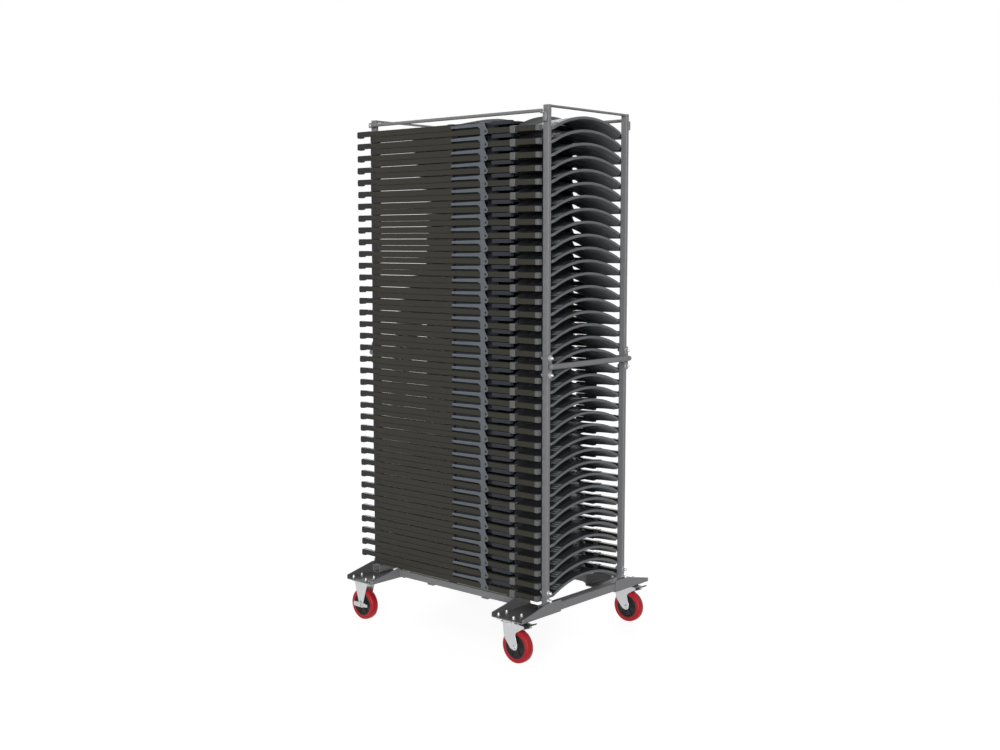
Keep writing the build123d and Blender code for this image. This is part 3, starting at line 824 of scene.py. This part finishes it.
def thicken(bm, thickness, half, ends, rim):
    """Give a sheet its thickness and round its outside edges."""
    bmesh.ops.solidify(bm, geom=bm.faces[:], thickness=thickness)
    face_outward(bm)

    def outside(v):
        return abs(v.co.y) > half - RIM_BAND_Y or any(abs(v.co.x - x) < RIM_BAND_X for x in ends)

    soften(bm, [e for e in sharp_edges(bm) if all(outside(v) for v in e.verts)], rim)


def chair_back():
    """A bowed back with rows of slots, crown up because the chairs lie face down."""
    half = math.asin(BACK_HALF / BACK_RADIUS)
    plain = (half - SLOTS_EACH_SIDE * SLOT_STEP / BACK_RADIUS) / 2
    gap, bar = SLOT_WIDTH / BACK_RADIUS, (SLOT_STEP - SLOT_WIDTH) / BACK_RADIUS
    middle = [bar / 2, *([gap, bar] * (2 * SLOTS_EACH_SIDE - 1)), gap, bar / 2]
    spans = [plain] * 2 + middle + [plain] * 2
    slot_columns = {2 + i for i in range(1, len(middle), 2)}

    def is_slot(column, x):
        return column in slot_columns and any(a < x < b for a, b in SLOT_ROWS)

    xs = [x for x, _ in BACK_CREST]
    bm = bowed_sheet(xs, spans, BACK_RADIUS, is_slot)
    for x, share in BACK_CORNERS:
        for side in (1, -1):
            tip = [v for v in row_at(bm, x) if v.co.y * side > BACK_HALF - 1]
            turn = Matrix.Rotation(side * share * plain, 3, "X")
            bmesh.ops.rotate(bm, verts=tip, cent=(0, 0, -BACK_RADIUS), matrix=turn)
    bmesh.ops.remove_doubles(bm, verts=bm.verts, dist=0.1)
    for x, crest in BACK_CREST:
        bmesh.ops.translate(bm, vec=(0, 0, crest), verts=row_at(bm, x))
    thicken(bm, BACK_THICKNESS, BACK_HALF, (xs[0], xs[-1]), BACK_RIM)
    # Painted light: the head end's faces take the full rim colour, bevels near it keep theirs and others
    # lose it, and the undersides take a share of it and a pale under colour that fades inward from the
    # head end.
    worn, light_shade_tone = bm.faces.layers.float[WORN_AND_LIT_EDGE], bm.verts.layers.float[LIGHT_SHADE_TONE]
    for face in bm.faces:
        end_face = abs(face.normal.x) > 0.7 and abs(face.calc_center_median().x - xs[-1]) < 1
        if end_face:
            face[worn] = 1.0
        elif face.calc_center_median().x < xs[-1] - BACK_END_BAND:
            face[worn] = 0.0
        if face.normal.z < -0.3:
            face[worn] = face[worn] or UNDERSIDE_MARK
            for v in face.verts:
                depth = xs[-1] - v.co.x
                v[light_shade_tone] = max(0.0, 1 - depth / PALE_REACH) ** PALE_POWER * min(1.0, depth / PALE_START)
    return bm


def chair_seat():
    """A dished seat, so raised in the middle here, its edges cut back at the front and the hinges,
    with a skirt, an inner wall and a short rail along each side."""
    half = math.asin(TUBE_INNER_Y / SEAT_RADIUS)
    xs = [x for x, _ in SEAT_CREST]
    bm = bowed_sheet(xs, [2 * half / SEAT_COLUMNS] * SEAT_COLUMNS, SEAT_RADIUS)
    drop = SEAT_RADIUS * (1 - math.cos(half))
    bmesh.ops.translate(bm, vec=(0, 0, drop), verts=bm.verts)
    for v in bm.verts:
        v.co.z = drop * (max(0.0, v.co.z) / drop) ** SEAT_BELL
    for x, crest in SEAT_CREST:
        row = row_at(bm, x)
        bmesh.ops.scale(bm, vec=(1, 1, (crest - SEAT_EDGE) / drop), verts=row)
        bmesh.ops.scale(bm, vec=(1, SEAT_WIDTHS.get(x, 1.0), 1), verts=row)
    bmesh.ops.translate(bm, vec=(0, 0, SEAT_EDGE), verts=bm.verts)
    thicken(bm, SEAT_THICKNESS, SEAT_RIM_HALF, (xs[0], xs[-1]), SEAT_RIM)
    # Painted light: the seat grows paler with its height above the edge, up to its crown.
    light_shade_tone = bm.verts.layers.float[LIGHT_SHADE_TONE]
    for v in bm.verts:
        v[light_shade_tone] = SEAT_CROWN_LIGHT * min(1.0, max(0.0, (v.co.z - SEAT_EDGE) / SEAT_CROWN_RISE))
    skirt = section_bar(0, *SEAT_SKIRT, 2.0, 1.5)
    wall = section_bar(0, *SEAT_WALL, 2.0, 1.5)
    rail = section_bar(0, *SEAT_RAIL, 2.0, 1.0)
    # The rails get a slightly paler tone of the same moulding.
    light_shade_tone = rail.verts.layers.float[LIGHT_SHADE_TONE]
    for v in rail.verts:
        v[light_shade_tone] = SEAT_RAIL_TONE
    gather(bm, placed(BOTH_SIDES, skirt, rounded_box(*SEAT_LUG, 1.5), wall, rail))
    # Every rounded edge keeps a small share of the rim colour, painted light, and of the wear.
    worn = bm.faces.layers.float[WORN_AND_LIT_EDGE]
    for face in bm.faces:
        face[worn] *= SEAT_RIM_MARK
    return bm


stack_piece(
    "chair_main_tubes_painted", chair_tubes(), chair_paint, "chair_main_tubes", "chair_front_braces",
    "chair_back_strips",
)
stack_piece(
    "chair_rear_legs_painted", chair_legs(), chair_paint, "chair_rear_legs", "chair_rear_braces",
)
stack_piece("chair_feet", chair_feet(), black_plastic)
stack_piece("chair_hinge_arms", chair_hinges(), hinge_paint, "chair_hinge_plates")
stack_piece("chair_hinge_pins", hinge_buttons(PIN, PIN_X, 0), black_plastic)
stack_piece("chair_bumpers", chair_bumpers(), pale_plastic)
stack_piece("chair_back_panels", chair_back(), back_plastic, "chair_backs")
stack_piece("chair_seat_panels", chair_seat(), seat_plastic, "chair_seats")


# Trolley frame


def frame_piece(name, bm, material, *nodes):
    finish_piece(name, bm, "trolley", material, *nodes)


def corner_names(stem):
    return [f"{stem}_{side}_{end}" for side in ("near", "far") for end in ("right", "left")]


def make_posts():
    low = (POST_INNER_X, -POST_OUTER_Y, BEAM_TOP)
    high = (POST_OUTER_X, -POST_OUTER_Y + POST_WIDTH, POST_TOP)
    posts = placed(FOUR_CORNERS, section_bar(2, low, high, 2.2, 1.0))
    frame_piece("posts", posts, grey_paint, *corner_names("post"), "post_spigots")


def make_end_beams():
    low = (POST_X - BEAM_HALF, -BEAM_END_Y, BEAM_BOTTOM)
    beam = section_bar(1, low, (POST_X + BEAM_HALF, BEAM_END_Y, BEAM_TOP), 6.0, 0.5, 4)
    hollow_ends(beam, 1, BEAM_WALL, BEAM_SINK)
    beams = placed(BOTH_ENDS, beam)
    frame_piece("end_beams", beams, grey_paint, "end_beam_right", "end_beam_left")


def trim_flange(sheet, side, height):
    """Cut one flange of a bracket down to its tip along a slope."""
    middle = (BRACKET_INNER_X + BRACKET_OUTER_X) / 2
    faces = [f for f in sheet.faces if side * (f.calc_center_median().x - middle) > FLANGE_REACH]
    geom = faces + list({e for f in faces for e in f.edges}) + list({v for f in faces for v in f.verts})
    run = BRACKET_END_Y - BEAM_END_Y
    bmesh.ops.bisect_plane(
        sheet, geom=geom, plane_co=(0, -BEAM_END_Y, CASTOR_TOP + height),
        plane_no=(0, -(height - FLANGE_TIP), run), clear_outer=True,
    )


def make_brackets():
    """Folded sheet trays that carry the castors, with painted shade on the faces that look in towards
    the tray's middle.
    """
    left, right, low = BRACKET_INNER_X, BRACKET_OUTER_X, CASTOR_TOP
    bend, sag = BRACKET_BEND, BRACKET_BEND_SAG
    section = [
        (left, low + INNER_FLANGE), (left, low + bend), (left + sag, low + sag), (left + bend, low),
        (right - bend, low), (right - sag, low + sag), (right, low + bend), (right, low + OUTER_FLANGE),
    ]
    sheet = fresh()
    verts = [sheet.verts.new((x, -BRACKET_START_Y, z)) for x, z in section]
    edges = [sheet.edges.new(pair) for pair in zip(verts, verts[1:])]
    made = bmesh.ops.extrude_edge_only(sheet, edges=edges)
    bmesh.ops.translate(sheet, vec=(0, BRACKET_START_Y - BRACKET_END_Y, 0), verts=new_verts(made))
    face_outward(sheet)
    trim_flange(sheet, -1, INNER_FLANGE)
    trim_flange(sheet, 1, OUTER_FLANGE)
    web = max(sheet.faces, key=lambda f: f.calc_area())
    if web.normal.z > 0:
        bmesh.ops.reverse_faces(sheet, faces=sheet.faces)
    bmesh.ops.solidify(sheet, geom=sheet.faces[:], thickness=SHEET)
    face_outward(sheet)

    def at_tip(v):
        return v.co.y < -BRACKET_END_Y + 0.1 and min(v.co.x - left, right - v.co.x) < 0.1

    tips = [e for e in edges_along(sheet, 2) if all(at_tip(v) for v in e.verts)]
    soften(sheet, tips, 3.4, 3)
    soften(sheet, sharp_edges(sheet, 0.9), 0.8)
    # Painted shade: faces that look in towards a point above the tray's middle take the darker under
    # colour.
    light_shade_tone = sheet.verts.layers.float[LIGHT_SHADE_TONE]
    for face in sheet.faces:
        centre = face.calc_center_median()
        inward = Vector(((left + right) / 2 - centre.x, 0, low + TRAY_EYE_HEIGHT - centre.z))
        if face.normal.dot(inward.normalized()) > 0.4:
            for v in face.verts:
                v[light_shade_tone] = 1.0
    brackets = placed(FOUR_CORNERS, sheet)
    frame_piece("castor_brackets", brackets, grey_paint, *corner_names("castor_bracket"))


def make_rails():
    end = BRACKET_INNER_X - 1
    low = (-end, -RAIL_Y - RAIL_HALF, RAIL_BOTTOM)
    rail = section_bar(0, low, (end, -RAIL_Y + RAIL_HALF, RAIL_TOP), 3.0, 0.5)
    rails = placed(BOTH_SIDES, rail)
    frame_piece("side_rails", rails, grey_paint, "side_rail_near", "side_rail_far")


def make_sockets():
    half = RAIL_HALF + SOCKET_WALL
    low = (SOCKET_START_X, -RAIL_Y - half, RAIL_BOTTOM - SOCKET_WALL)
    high = (BRACKET_INNER_X - 0.2, -RAIL_Y + half, RAIL_TOP + SOCKET_WALL)
    sockets = placed(FOUR_CORNERS, section_bar(0, low, high, 4.0, 1.2))
    frame_piece("rail_sleeves", sockets, grey_paint, "rail_sockets")


def make_straps():
    (start, end), half = STRAP_X, RAIL_Y + RAIL_HALF
    low = (start, -half, RAIL_BOTTOM - STRAP_THICKNESS)
    straps = placed(BOTH_ENDS, rounded_box(low, (end, half, RAIL_BOTTOM), 1.0))
    frame_piece("under_straps", straps, grey_paint, "cross_straps")


def make_strips():
    """Strips under the lowest chair: a flat on a web, with a lip along its inner edge."""
    (start, end), (outer, inner), (bottom, top) = STRIP_X, STRIP_Y, STRIP_Z
    flat = rounded_box((start, outer, bottom), (end, inner, top), 1.0)
    web = box((start + 0.5, -RAIL_Y - 2, RAIL_TOP), (end - 0.5, -RAIL_Y + 2, bottom + 0.5))
    lip = rounded_box((start + 2, inner - 3, top - 2), (STRIP_LIP_END_X, inner, STRIP_LIP_TOP), 1.0)
    strips = placed(FOUR_CORNERS, flat, web, lip)
    frame_piece("chair_deck_strips", strips, strip_paint, "deck_strips")


def make_top_bars():
    end = POST_Y - POST_WIDTH / 2 + 0.2
    low = (POST_X - TOP_FLAT_HALF, -end, POST_TOP - TOP_FLAT_THICKNESS)
    bars = placed(BOTH_ENDS, rounded_box(low, (POST_X + TOP_FLAT_HALF, end, POST_TOP), 0.9))
    frame_piece("top_flats", bars, grey_paint, "top_bar_right", "top_bar_left")


def make_push_bars():
    cap = [(0, 5), (4.5, 4.2), (8, 2), (9.7, -1.4), (10, -5)]
    profile = [(r, -PUSH_HALF - h) for r, h in cap] + [(r, PUSH_HALF + h) for r, h in reversed(cap)]
    places = [m @ move(PUSH_X, 0, PUSH_Z) @ ALONG_Y for m in BOTH_ENDS]
    frame_piece("push_bar_tubes", placed(places, lathe(profile, 32)), grey_paint, "push_bars")


def make_push_plates():
    low = (POST_OUTER_X, -POST_Y - PUSH_PAD_HALF_Y, PUSH_Z - PUSH_PAD_HALF_Z)
    high = (POST_OUTER_X + PUSH_PAD_SHEET, -POST_Y + PUSH_PAD_HALF_Y, PUSH_Z + PUSH_PAD_HALF_Z)
    pads = placed(FOUR_CORNERS, corner_plate(low, high, 0, 5.0, 3))
    frame_piece("push_bar_pads", pads, grey_paint, "push_bar_plates")


def make_keepers():
    """Open hooks that the free ends of the retaining bars drop into."""
    y, floor = POST_OUTER_Y, RETAINER_Z - RETAINER_R - RETAINER_GAP
    outline = [
        (0, -28), (3, -28), (3, -3), (17, -3), (18.6, -1), (18.6, 5), (18, 6), (17, 6), (16.4, 5),
        (16.4, 1.5), (15, 0), (4.5, 0), (0, 0),
    ]
    hook = plate([(HOOK_X, -y - a, floor + b) for a, b in outline], (HOOK_WIDTH, 0, 0), 0.7)
    (start, end), (low, high) = BOSS_X, BOSS_Z
    boss = rounded_box((start, -y - BOSS_DEPTH, low), (end, -y, high), 6.0, 4)
    frame_piece("bar_hooks", placed(BOTH_SIDES, hook, boss), grey_paint, "bar_keepers")


def make_studs():
    face = RETAINER_Y + RETAINER_R + RETAINER_GAP
    shank = lathe([(0, -face), (STUD_R, -face), (STUD_R, -POST_OUTER_Y), (0, -POST_OUTER_Y)], 16)
    spot = move(-POST_X, 0, RETAINER_Z)
    bm = placed([m @ spot @ turned(-90, "X") for m in BOTH_SIDES], shank)
    head = move(-POST_X, -face, RETAINER_Z) @ ALONG_Y @ Matrix.Scale(STUD_HEAD_SHARE, 4)
    gather(bm, bolt_head(), [m @ head for m in BOTH_SIDES])
    frame_piece("pivot_studs", bm, zinc_steel, "bar_pivot_studs")


def make_frame_bolts():
    """Bolts through the posts at the push bars and feet, and through the brackets to the castors."""
    nuts, plate_nuts, heads = [], [], []
    inward = turned(-90, "Y")
    levels = [(PUSH_Z + PUSH_BOLT_RISE, PUSH_PAD_SHEET), (PUSH_Z - PUSH_BOLT_RISE, PUSH_PAD_SHEET)]
    for z, sheet in levels + [(z, 0.0) for z in POST_BOLTS_Z]:
        nuts += [m @ move(POST_OUTER_X + sheet, -POST_Y, z) @ ALONG_X for m in FOUR_CORNERS]
        heads += [m @ move(POST_INNER_X, -POST_Y, z) @ inward for m in FOUR_CORNERS]
    for x in (SWIVEL_X, RIGID_X):
        for dx in CASTOR_BOLTS_X:
            for dy in CASTOR_BOLTS_Y:
                top = move(x + dx, -CASTOR_Y + dy, CASTOR_TOP + SHEET)
                plate_nuts += [m @ top @ Matrix.Scale(CASTOR_NUT_SHARE, 4) for m in BOTH_SIDES]
                under = move(x + dx, -CASTOR_Y + dy, CASTOR_TOP - CASTOR_PAD_SHEET) @ UPSIDE_DOWN
                heads += [m @ under @ Matrix.Scale(CASTOR_HEAD_SHARE, 4) for m in BOTH_SIDES]
    bm = placed(nuts + plate_nuts, cap_nut())
    gather(bm, bolt_head(), heads)
    frame_piece("cap_nuts_and_bolts", bm, zinc_steel)


def make_welds():
    """Beads round the feet of the posts, and round the sockets on top and outside."""
    near, far = -POST_OUTER_Y, -POST_OUTER_Y + POST_WIDTH
    foot = [(POST_INNER_X, near), (POST_OUTER_X, near), (POST_OUTER_X, far), (POST_INNER_X, far)]
    sides = zip(foot, foot[1:] + foot[:1])
    runs = [weld_run((*start, BEAM_TOP), (*end, BEAM_TOP), 2.0) for start, end in sides]
    x, half, top = SOCKET_WELD_X, RAIL_HALF + SOCKET_WALL, RAIL_TOP + SOCKET_WALL - 0.4
    near, far = -RAIL_Y - half, -RAIL_Y + half
    runs.append(weld_run((x, near + 4, top), (x, far - 4, top), 1.8))
    runs.append(weld_run((x, near, RAIL_BOTTOM + 1), (x, near, RAIL_TOP - 1), 1.8))
    frame_piece("weld_beads", placed(FOUR_CORNERS, *runs), grey_paint)


make_posts()
make_end_beams()
make_brackets()
make_rails()
make_sockets()
make_straps()
make_strips()
make_top_bars()
make_push_bars()
make_push_plates()
make_keepers()
make_studs()
make_frame_bolts()
make_welds()


# Retaining bars


def make_retainer(side, mirror):
    """A round bar with a rounded tip, on a block that turns about its stud."""
    end, half = RETAINER_END_X, RETAINER_BLOCK_HALF
    profile = [
        (0, -POST_X), (RETAINER_R, -POST_X), (RETAINER_R, end - 2.5), (5.3, end - 0.9), (3.6, end),
        (0, end),
    ]
    bm = placed([move(0, -RETAINER_Y, RETAINER_Z) @ ALONG_X], lathe(profile, 20))
    low = (-POST_X - half, -RETAINER_Y - RETAINER_R, RETAINER_Z - half)
    high = (-POST_X + half, -POST_OUTER_Y - RETAINER_GAP, RETAINER_Z + half)
    gather(bm, section_bar(1, low, high, 3.5, 0.6))
    node = f"retaining_bar_{side}"
    finish_piece(f"{node}_rod", placed([mirror], bm), node, grey_paint, node)


for side, mirror in SIDES:
    make_retainer(side, mirror)


# Castors

TYRE = [
    (43.2, -14.6), (45.4, -15.6), (52, -16), (55.8, -15.2), (58.5, -12.4), (59.7, -7), (60, 0),
    (59.7, 7), (58.5, 12.4), (55.8, 15.2), (52, 16), (45.4, 15.6), (43.2, 14.6),
]
HUB_HALF = [
    (6.1, 18), (12.6, 18), (13.6, 17.2), (14.4, 10.4), (16.8, 8.6), (35.4, 8.6), (37.4, 10.2),
    (38.4, 14.2), (39.4, 15), (42.6, 15), (43.4, 14.2),
]
HUB_RIBS = 6
HUB_RIB = ((14.0, -1.8, -12.5), (38.4, 1.8, 12.5))


def wheel_place(x):
    return move(x, -CASTOR_Y, AXLE_Z) @ ALONG_Y


def make_wheel(side, end, x, mirror):
    """A tyre on a moulded hub with ribs."""
    corner, places = f"{side}_{end}", [mirror @ wheel_place(x)]
    tyre = placed(places, lathe(TYRE, 56, closed=True))
    finish_piece(f"tyre_{corner}_tread", tyre, f"wheel_{corner}", red_tyre, f"tyre_{corner}")
    hub = lathe(HUB_HALF + [(r, -h) for r, h in reversed(HUB_HALF)], 40, closed=True)
    for i in range(HUB_RIBS):
        gather(hub, rounded_box(*HUB_RIB, 0.8), [turned(i * 360 / HUB_RIBS, "Z")])
    hub = placed(places, hub)
    finish_piece(f"hub_{corner}_moulding", hub, f"wheel_{corner}", black_plastic, f"hub_{corner}")


def make_axle(side, kind, x, grip, body, mirror):
    """An axle with a head at each end, longer on the outside by what it grips there."""
    near, far = FORK_OUTER + grip, FORK_OUTER
    place = mirror @ wheel_place(x)
    bm = placed([place], lathe([(0, -far), (AXLE_R, -far), (AXLE_R, near), (0, near)], 20))
    ends = [place @ move(0, 0, near), place @ move(0, 0, -far) @ UPSIDE_DOWN]
    gather(bm, bolt_head(), ends)
    node = f"{kind}_axle_{side}"
    finish_piece(f"{node}_bolt", bm, body, zinc_steel, node)


SWIVEL_LEG = [
    (-20, 142.7), (30, 142.7), (60, 142.4), (74, 141), (78, 137.6), (76, 133), (68, 128), (52, 118.4),
    (42, 112), (38.4, 106), (38, 99), (41, 86), (45.6, 72), (47, 63.5), (45, 55), (40.4, 50),
    (33, 48), (24, 50), (14.6, 56.4), (4, 67), (-9, 83), (-14.3, 93.5), (-17, 120), (-19, 138),
]
RIGID_LEG = [
    (-35, 152), (35, 152), (35, 143), (31, 132), (14.2, 74), (13, 58), (8.4, 51.6), (0, 49.6),
    (-8.4, 51.6), (-13, 58), (-14.2, 74), (-31, 132), (-35, 143),
]
SWIVEL_RIDGE = ((18.0, 47.0), (3.0, 150.0))
RIGID_RIDGE = ((0.0, 40.0), (0.0, 160.0))
RIDGE_RISE = 2.6
CROWN = ((-30.0, -FORK_OUTER, 136.7), (30.0, FORK_OUTER, 142.7))
CROWN_SKIRT = [(10, 136.9), (27.5, 136.9), (27.5, 142.2), (26.4, 143), (10, 143)]
BALL_RACE = [
    (0, 152.4), (30, 152.4), (31, 151.2), (31, 149.4), (29.6, 148.6), (29.6, 147.4), (28.4, 146.6),
    (28.4, 144.2), (27.4, 143.2), (7, 143.2), (7, 136.4), (0, 136.4),
]
KING_NUT_Z = 132.4
KING_NUT_ACROSS = 19.0
KING_NUT_HEIGHT = 4.0


def fork_leg(outline, ridge_low, ridge_high):
    """A pressed leg: a flat outline with a ridge down its middle, given its sheet thickness."""
    bm = fresh()
    bm.faces.new([bm.verts.new((u, -FORK_OUTER, z)) for u, z in outline])
    low, high = (Vector((u, 0, z)) for u, z in (ridge_low, ridge_high))
    across = (high - low).cross(Vector((0, 1, 0)))
    cut_across(bm, low, across)
    face_outward(bm)
    if next(iter(bm.faces)).normal.y > 0:
        bmesh.ops.reverse_faces(bm, faces=bm.faces)
    bmesh.ops.solidify(bm, geom=bm.faces[:], thickness=FORK_OUTER - FORK_INNER)
    for v in bm.verts:
        if abs((v.co - low).dot(across.normalized())) < 0.01:
            v.co.y -= RIDGE_RISE
    face_outward(bm)
    soften(bm, sharp_edges(bm, 0.9), 0.8)
    return bm


def castor_pad():
    """The plate by which a castor is bolted up."""
    low = (-CASTOR_PAD_X, -CASTOR_PAD_Y, CASTOR_TOP - CASTOR_PAD_SHEET)
    return corner_plate(low, (CASTOR_PAD_X, CASTOR_PAD_Y, CASTOR_TOP), 2, 8.0, 4)


def make_swivel_fork(side, mirror):
    place = mirror @ move(SWIVEL_X, -CASTOR_Y, 0)
    bm = placed([place @ m for m in BOTH_SIDES], fork_leg(SWIVEL_LEG, *SWIVEL_RIDGE))
    skirt = lathe(CROWN_SKIRT, 36, closed=True)
    gather(bm, placed([place], rounded_box(*CROWN, 1.6), skirt))
    node = f"swivel_fork_{side}"
    finish_piece(f"{node}_pressing", bm, f"swivel_{side}", zinc_steel, node)


def make_swivel_plates():
    """Top plates of the swivel castors, with ball race and king pin nut."""
    places = [m @ move(SWIVEL_X, -CASTOR_Y, 0) for m in BOTH_SIDES]
    bm = placed(places, castor_pad(), lathe(BALL_RACE, 36))
    nut = hexagon(KING_NUT_ACROSS, KING_NUT_HEIGHT)
    gather(bm, nut, [p @ move(0, 0, KING_NUT_Z) for p in places])
    frame_piece("swivel_heads", bm, zinc_steel, "swivel_plates")


def make_rigid_forks():
    places = [m @ move(RIGID_X, -CASTOR_Y, 0) for m in BOTH_SIDES]
    legs = [p @ m for p in places for m in BOTH_SIDES]
    bm = placed(legs, fork_leg(RIGID_LEG, *RIGID_RIDGE))
    gather(bm, castor_pad(), places)
    frame_piece("rigid_fork_pressings", bm, zinc_steel, "rigid_forks")


def make_pedal(side, mirror):
    """A brake pedal: a barrel between the fork's legs, a foot tab, a shoe and a bright release tab."""
    place, half = mirror @ move(PEDAL_X, -CASTOR_Y, PEDAL_Z), PEDAL_HALF
    barrel = [(0, -half), (4.1, -half), (4.5, 0.6 - half), (4.5, half - 0.6), (4.1, half), (0, half)]
    bm = placed([place @ ALONG_Y], lathe(barrel, 16))
    tab = [(-2, -3), (20, -1), (36, 2.4), (60, 11), (62, 14), (60, 15.6), (35, 6.8), (18, 3.6), (-3, 3)]
    gather(bm, plate([(x, half, z) for x, z in tab], (0, -2 * half, 0), 1.2), [place])
    gather(bm, rounded_box((4, 2 - half, -12.3), (16, half - 2, 1), 1.6), [place])
    node = f"brake_pedal_{side}"
    finish_piece(f"{node}_tab", bm, node, black_plastic, node)
    tab = [(14, -10.5), (28, -9), (43, -3.4), (45, -1), (43.4, 0.6), (27, -5.4), (14, -7)]
    release = plate([(x, RELEASE_HALF, z) for x, z in tab], (0, -2 * RELEASE_HALF, 0), 1.0)
    finish_piece(f"{node}_release", placed([place], release), node, zinc_steel)


def make_lever(side, mirror):
    """A flat brake lever, wider at its left end and widest round the axle."""
    outline = [
        (-36, -8.4), (-38, -6), (-38, 6), (-36, 8.4), (-30, 8.6), (-9, 9.6), (0, 10), (9, 9.6),
        (30, 5.8), (36, 5.4), (38, 3.6), (38, -3.6), (36, -5.4), (30, -5.8), (9, -9.6), (0, -10),
        (-9, -9.6), (-30, -8.6),
    ]
    face = -FORK_OUTER - LEVER_GAP
    arm = plate([(x, face, z) for x, z in outline], (0, -LEVER_THICKNESS, 0), 1.0)
    node = f"side_lever_{side}"
    arm = placed([mirror @ move(RIGID_X, -CASTOR_Y, AXLE_Z)], arm)
    finish_piece(f"{node}_arm", arm, node, lever_paint, node)


make_swivel_plates()
make_rigid_forks()
for side, mirror in SIDES:
    for end, x in (("right", WHEEL_X), ("left", RIGID_X)):
        make_wheel(side, end, x, mirror)
    make_axle(side, "swivel", WHEEL_X, 0.0, f"swivel_{side}", mirror)
    make_axle(side, "rigid", RIGID_X, LEVER_GRIP, "trolley", mirror)
    make_swivel_fork(side, mirror)
    make_pedal(side, mirror)
    make_lever(side, mirror)


# Stage, light and camera

FLOOR_HALF = 40.0
FLOOR_GLOW = 0.84
FLOOR_TONE = 0.45
WORLD_FILL = 0.26
KEY_STRENGTH = 3.2
BACK_STRENGTH = 2.0
LAMP_SPREAD = math.radians(40)
CAMERA_PLACE = (3.1607, -3.5303, 1.4409)
CAMERA_TILT = math.radians(84.02)
CAMERA_TURN = math.radians(41.57)
CAMERA_LENS = 45.45
CAMERA_SENSOR = 36.0


def seen_ray(n):
    """1 for rays from the camera, a mirror or through glass."""
    path = n.add("ShaderNodeLightPath")
    seen = n.math("MAXIMUM", path.outputs["Is Camera Ray"], path.outputs["Is Glossy Ray"])
    return n.math("MAXIMUM", seen, path.outputs["Is Transmission Ray"])


def make_floor():
    bm = bmesh.new()
    bmesh.ops.create_grid(bm, x_segments=1, y_segments=1, size=FLOOR_HALF)
    mesh = bpy.data.meshes.new("floor")
    bm.to_mesh(mesh)
    bm.free()
    floor = add_object("floor", mesh)
    material = bpy.data.materials.new("pale_floor")
    material.use_nodes = True
    tree = material.node_tree
    tree.nodes.clear()
    n = Nodes(tree)
    out = n.add("ShaderNodeOutputMaterial")
    shade = n.add("ShaderNodeBsdfDiffuse")
    shade.inputs["Color"].default_value = (FLOOR_TONE, FLOOR_TONE, FLOOR_TONE, 1)
    glow = n.add("ShaderNodeEmission")
    n.link(n.math("MULTIPLY", seen_ray(n), FLOOR_GLOW), glow.inputs["Strength"])
    both = n.add("ShaderNodeAddShader")
    n.feed(both.inputs, {0: shade.outputs[0], 1: glow.outputs[0]})
    n.link(both.outputs[0], out.inputs["Surface"])
    mesh.materials.append(material)


def make_world():
    world = bpy.data.worlds.new("studio")
    bpy.context.scene.world = world
    world.use_nodes = True
    n = Nodes(world.node_tree)
    sky = world.node_tree.nodes["Background"]
    sky.inputs["Color"].default_value = (1, 1, 1, 1)
    n.link(n.spread(seen_ray(n), 0.0, 1.0, WORLD_FILL, 1.0), sky.inputs["Strength"])


def make_lamp(name, strength, azimuth, elevation):
    """A wide soft lamp shining from a compass direction, where azimuth 0 stands at -Y."""
    lamp = bpy.data.lights.new(name, "SUN")
    lamp.energy = strength
    lamp.angle = LAMP_SPREAD
    holder = add_object(name, lamp)
    holder.rotation_euler = (math.radians(90 - elevation), 0, math.radians(azimuth))


def make_camera():
    data = bpy.data.cameras.new("camera")
    data.sensor_width = CAMERA_SENSOR
    data.lens = CAMERA_LENS
    camera = add_object("camera", data)
    camera.location = CAMERA_PLACE
    camera.rotation_euler = (CAMERA_TILT, 0, CAMERA_TURN)
    bpy.context.scene.camera = camera


make_floor()
make_world()
make_lamp("front_softbox", KEY_STRENGTH, azimuth=36, elevation=5)
make_lamp("back_softbox", BACK_STRENGTH, azimuth=215, elevation=8)
make_camera()
bpy.context.scene.view_settings.view_transform = "Standard"
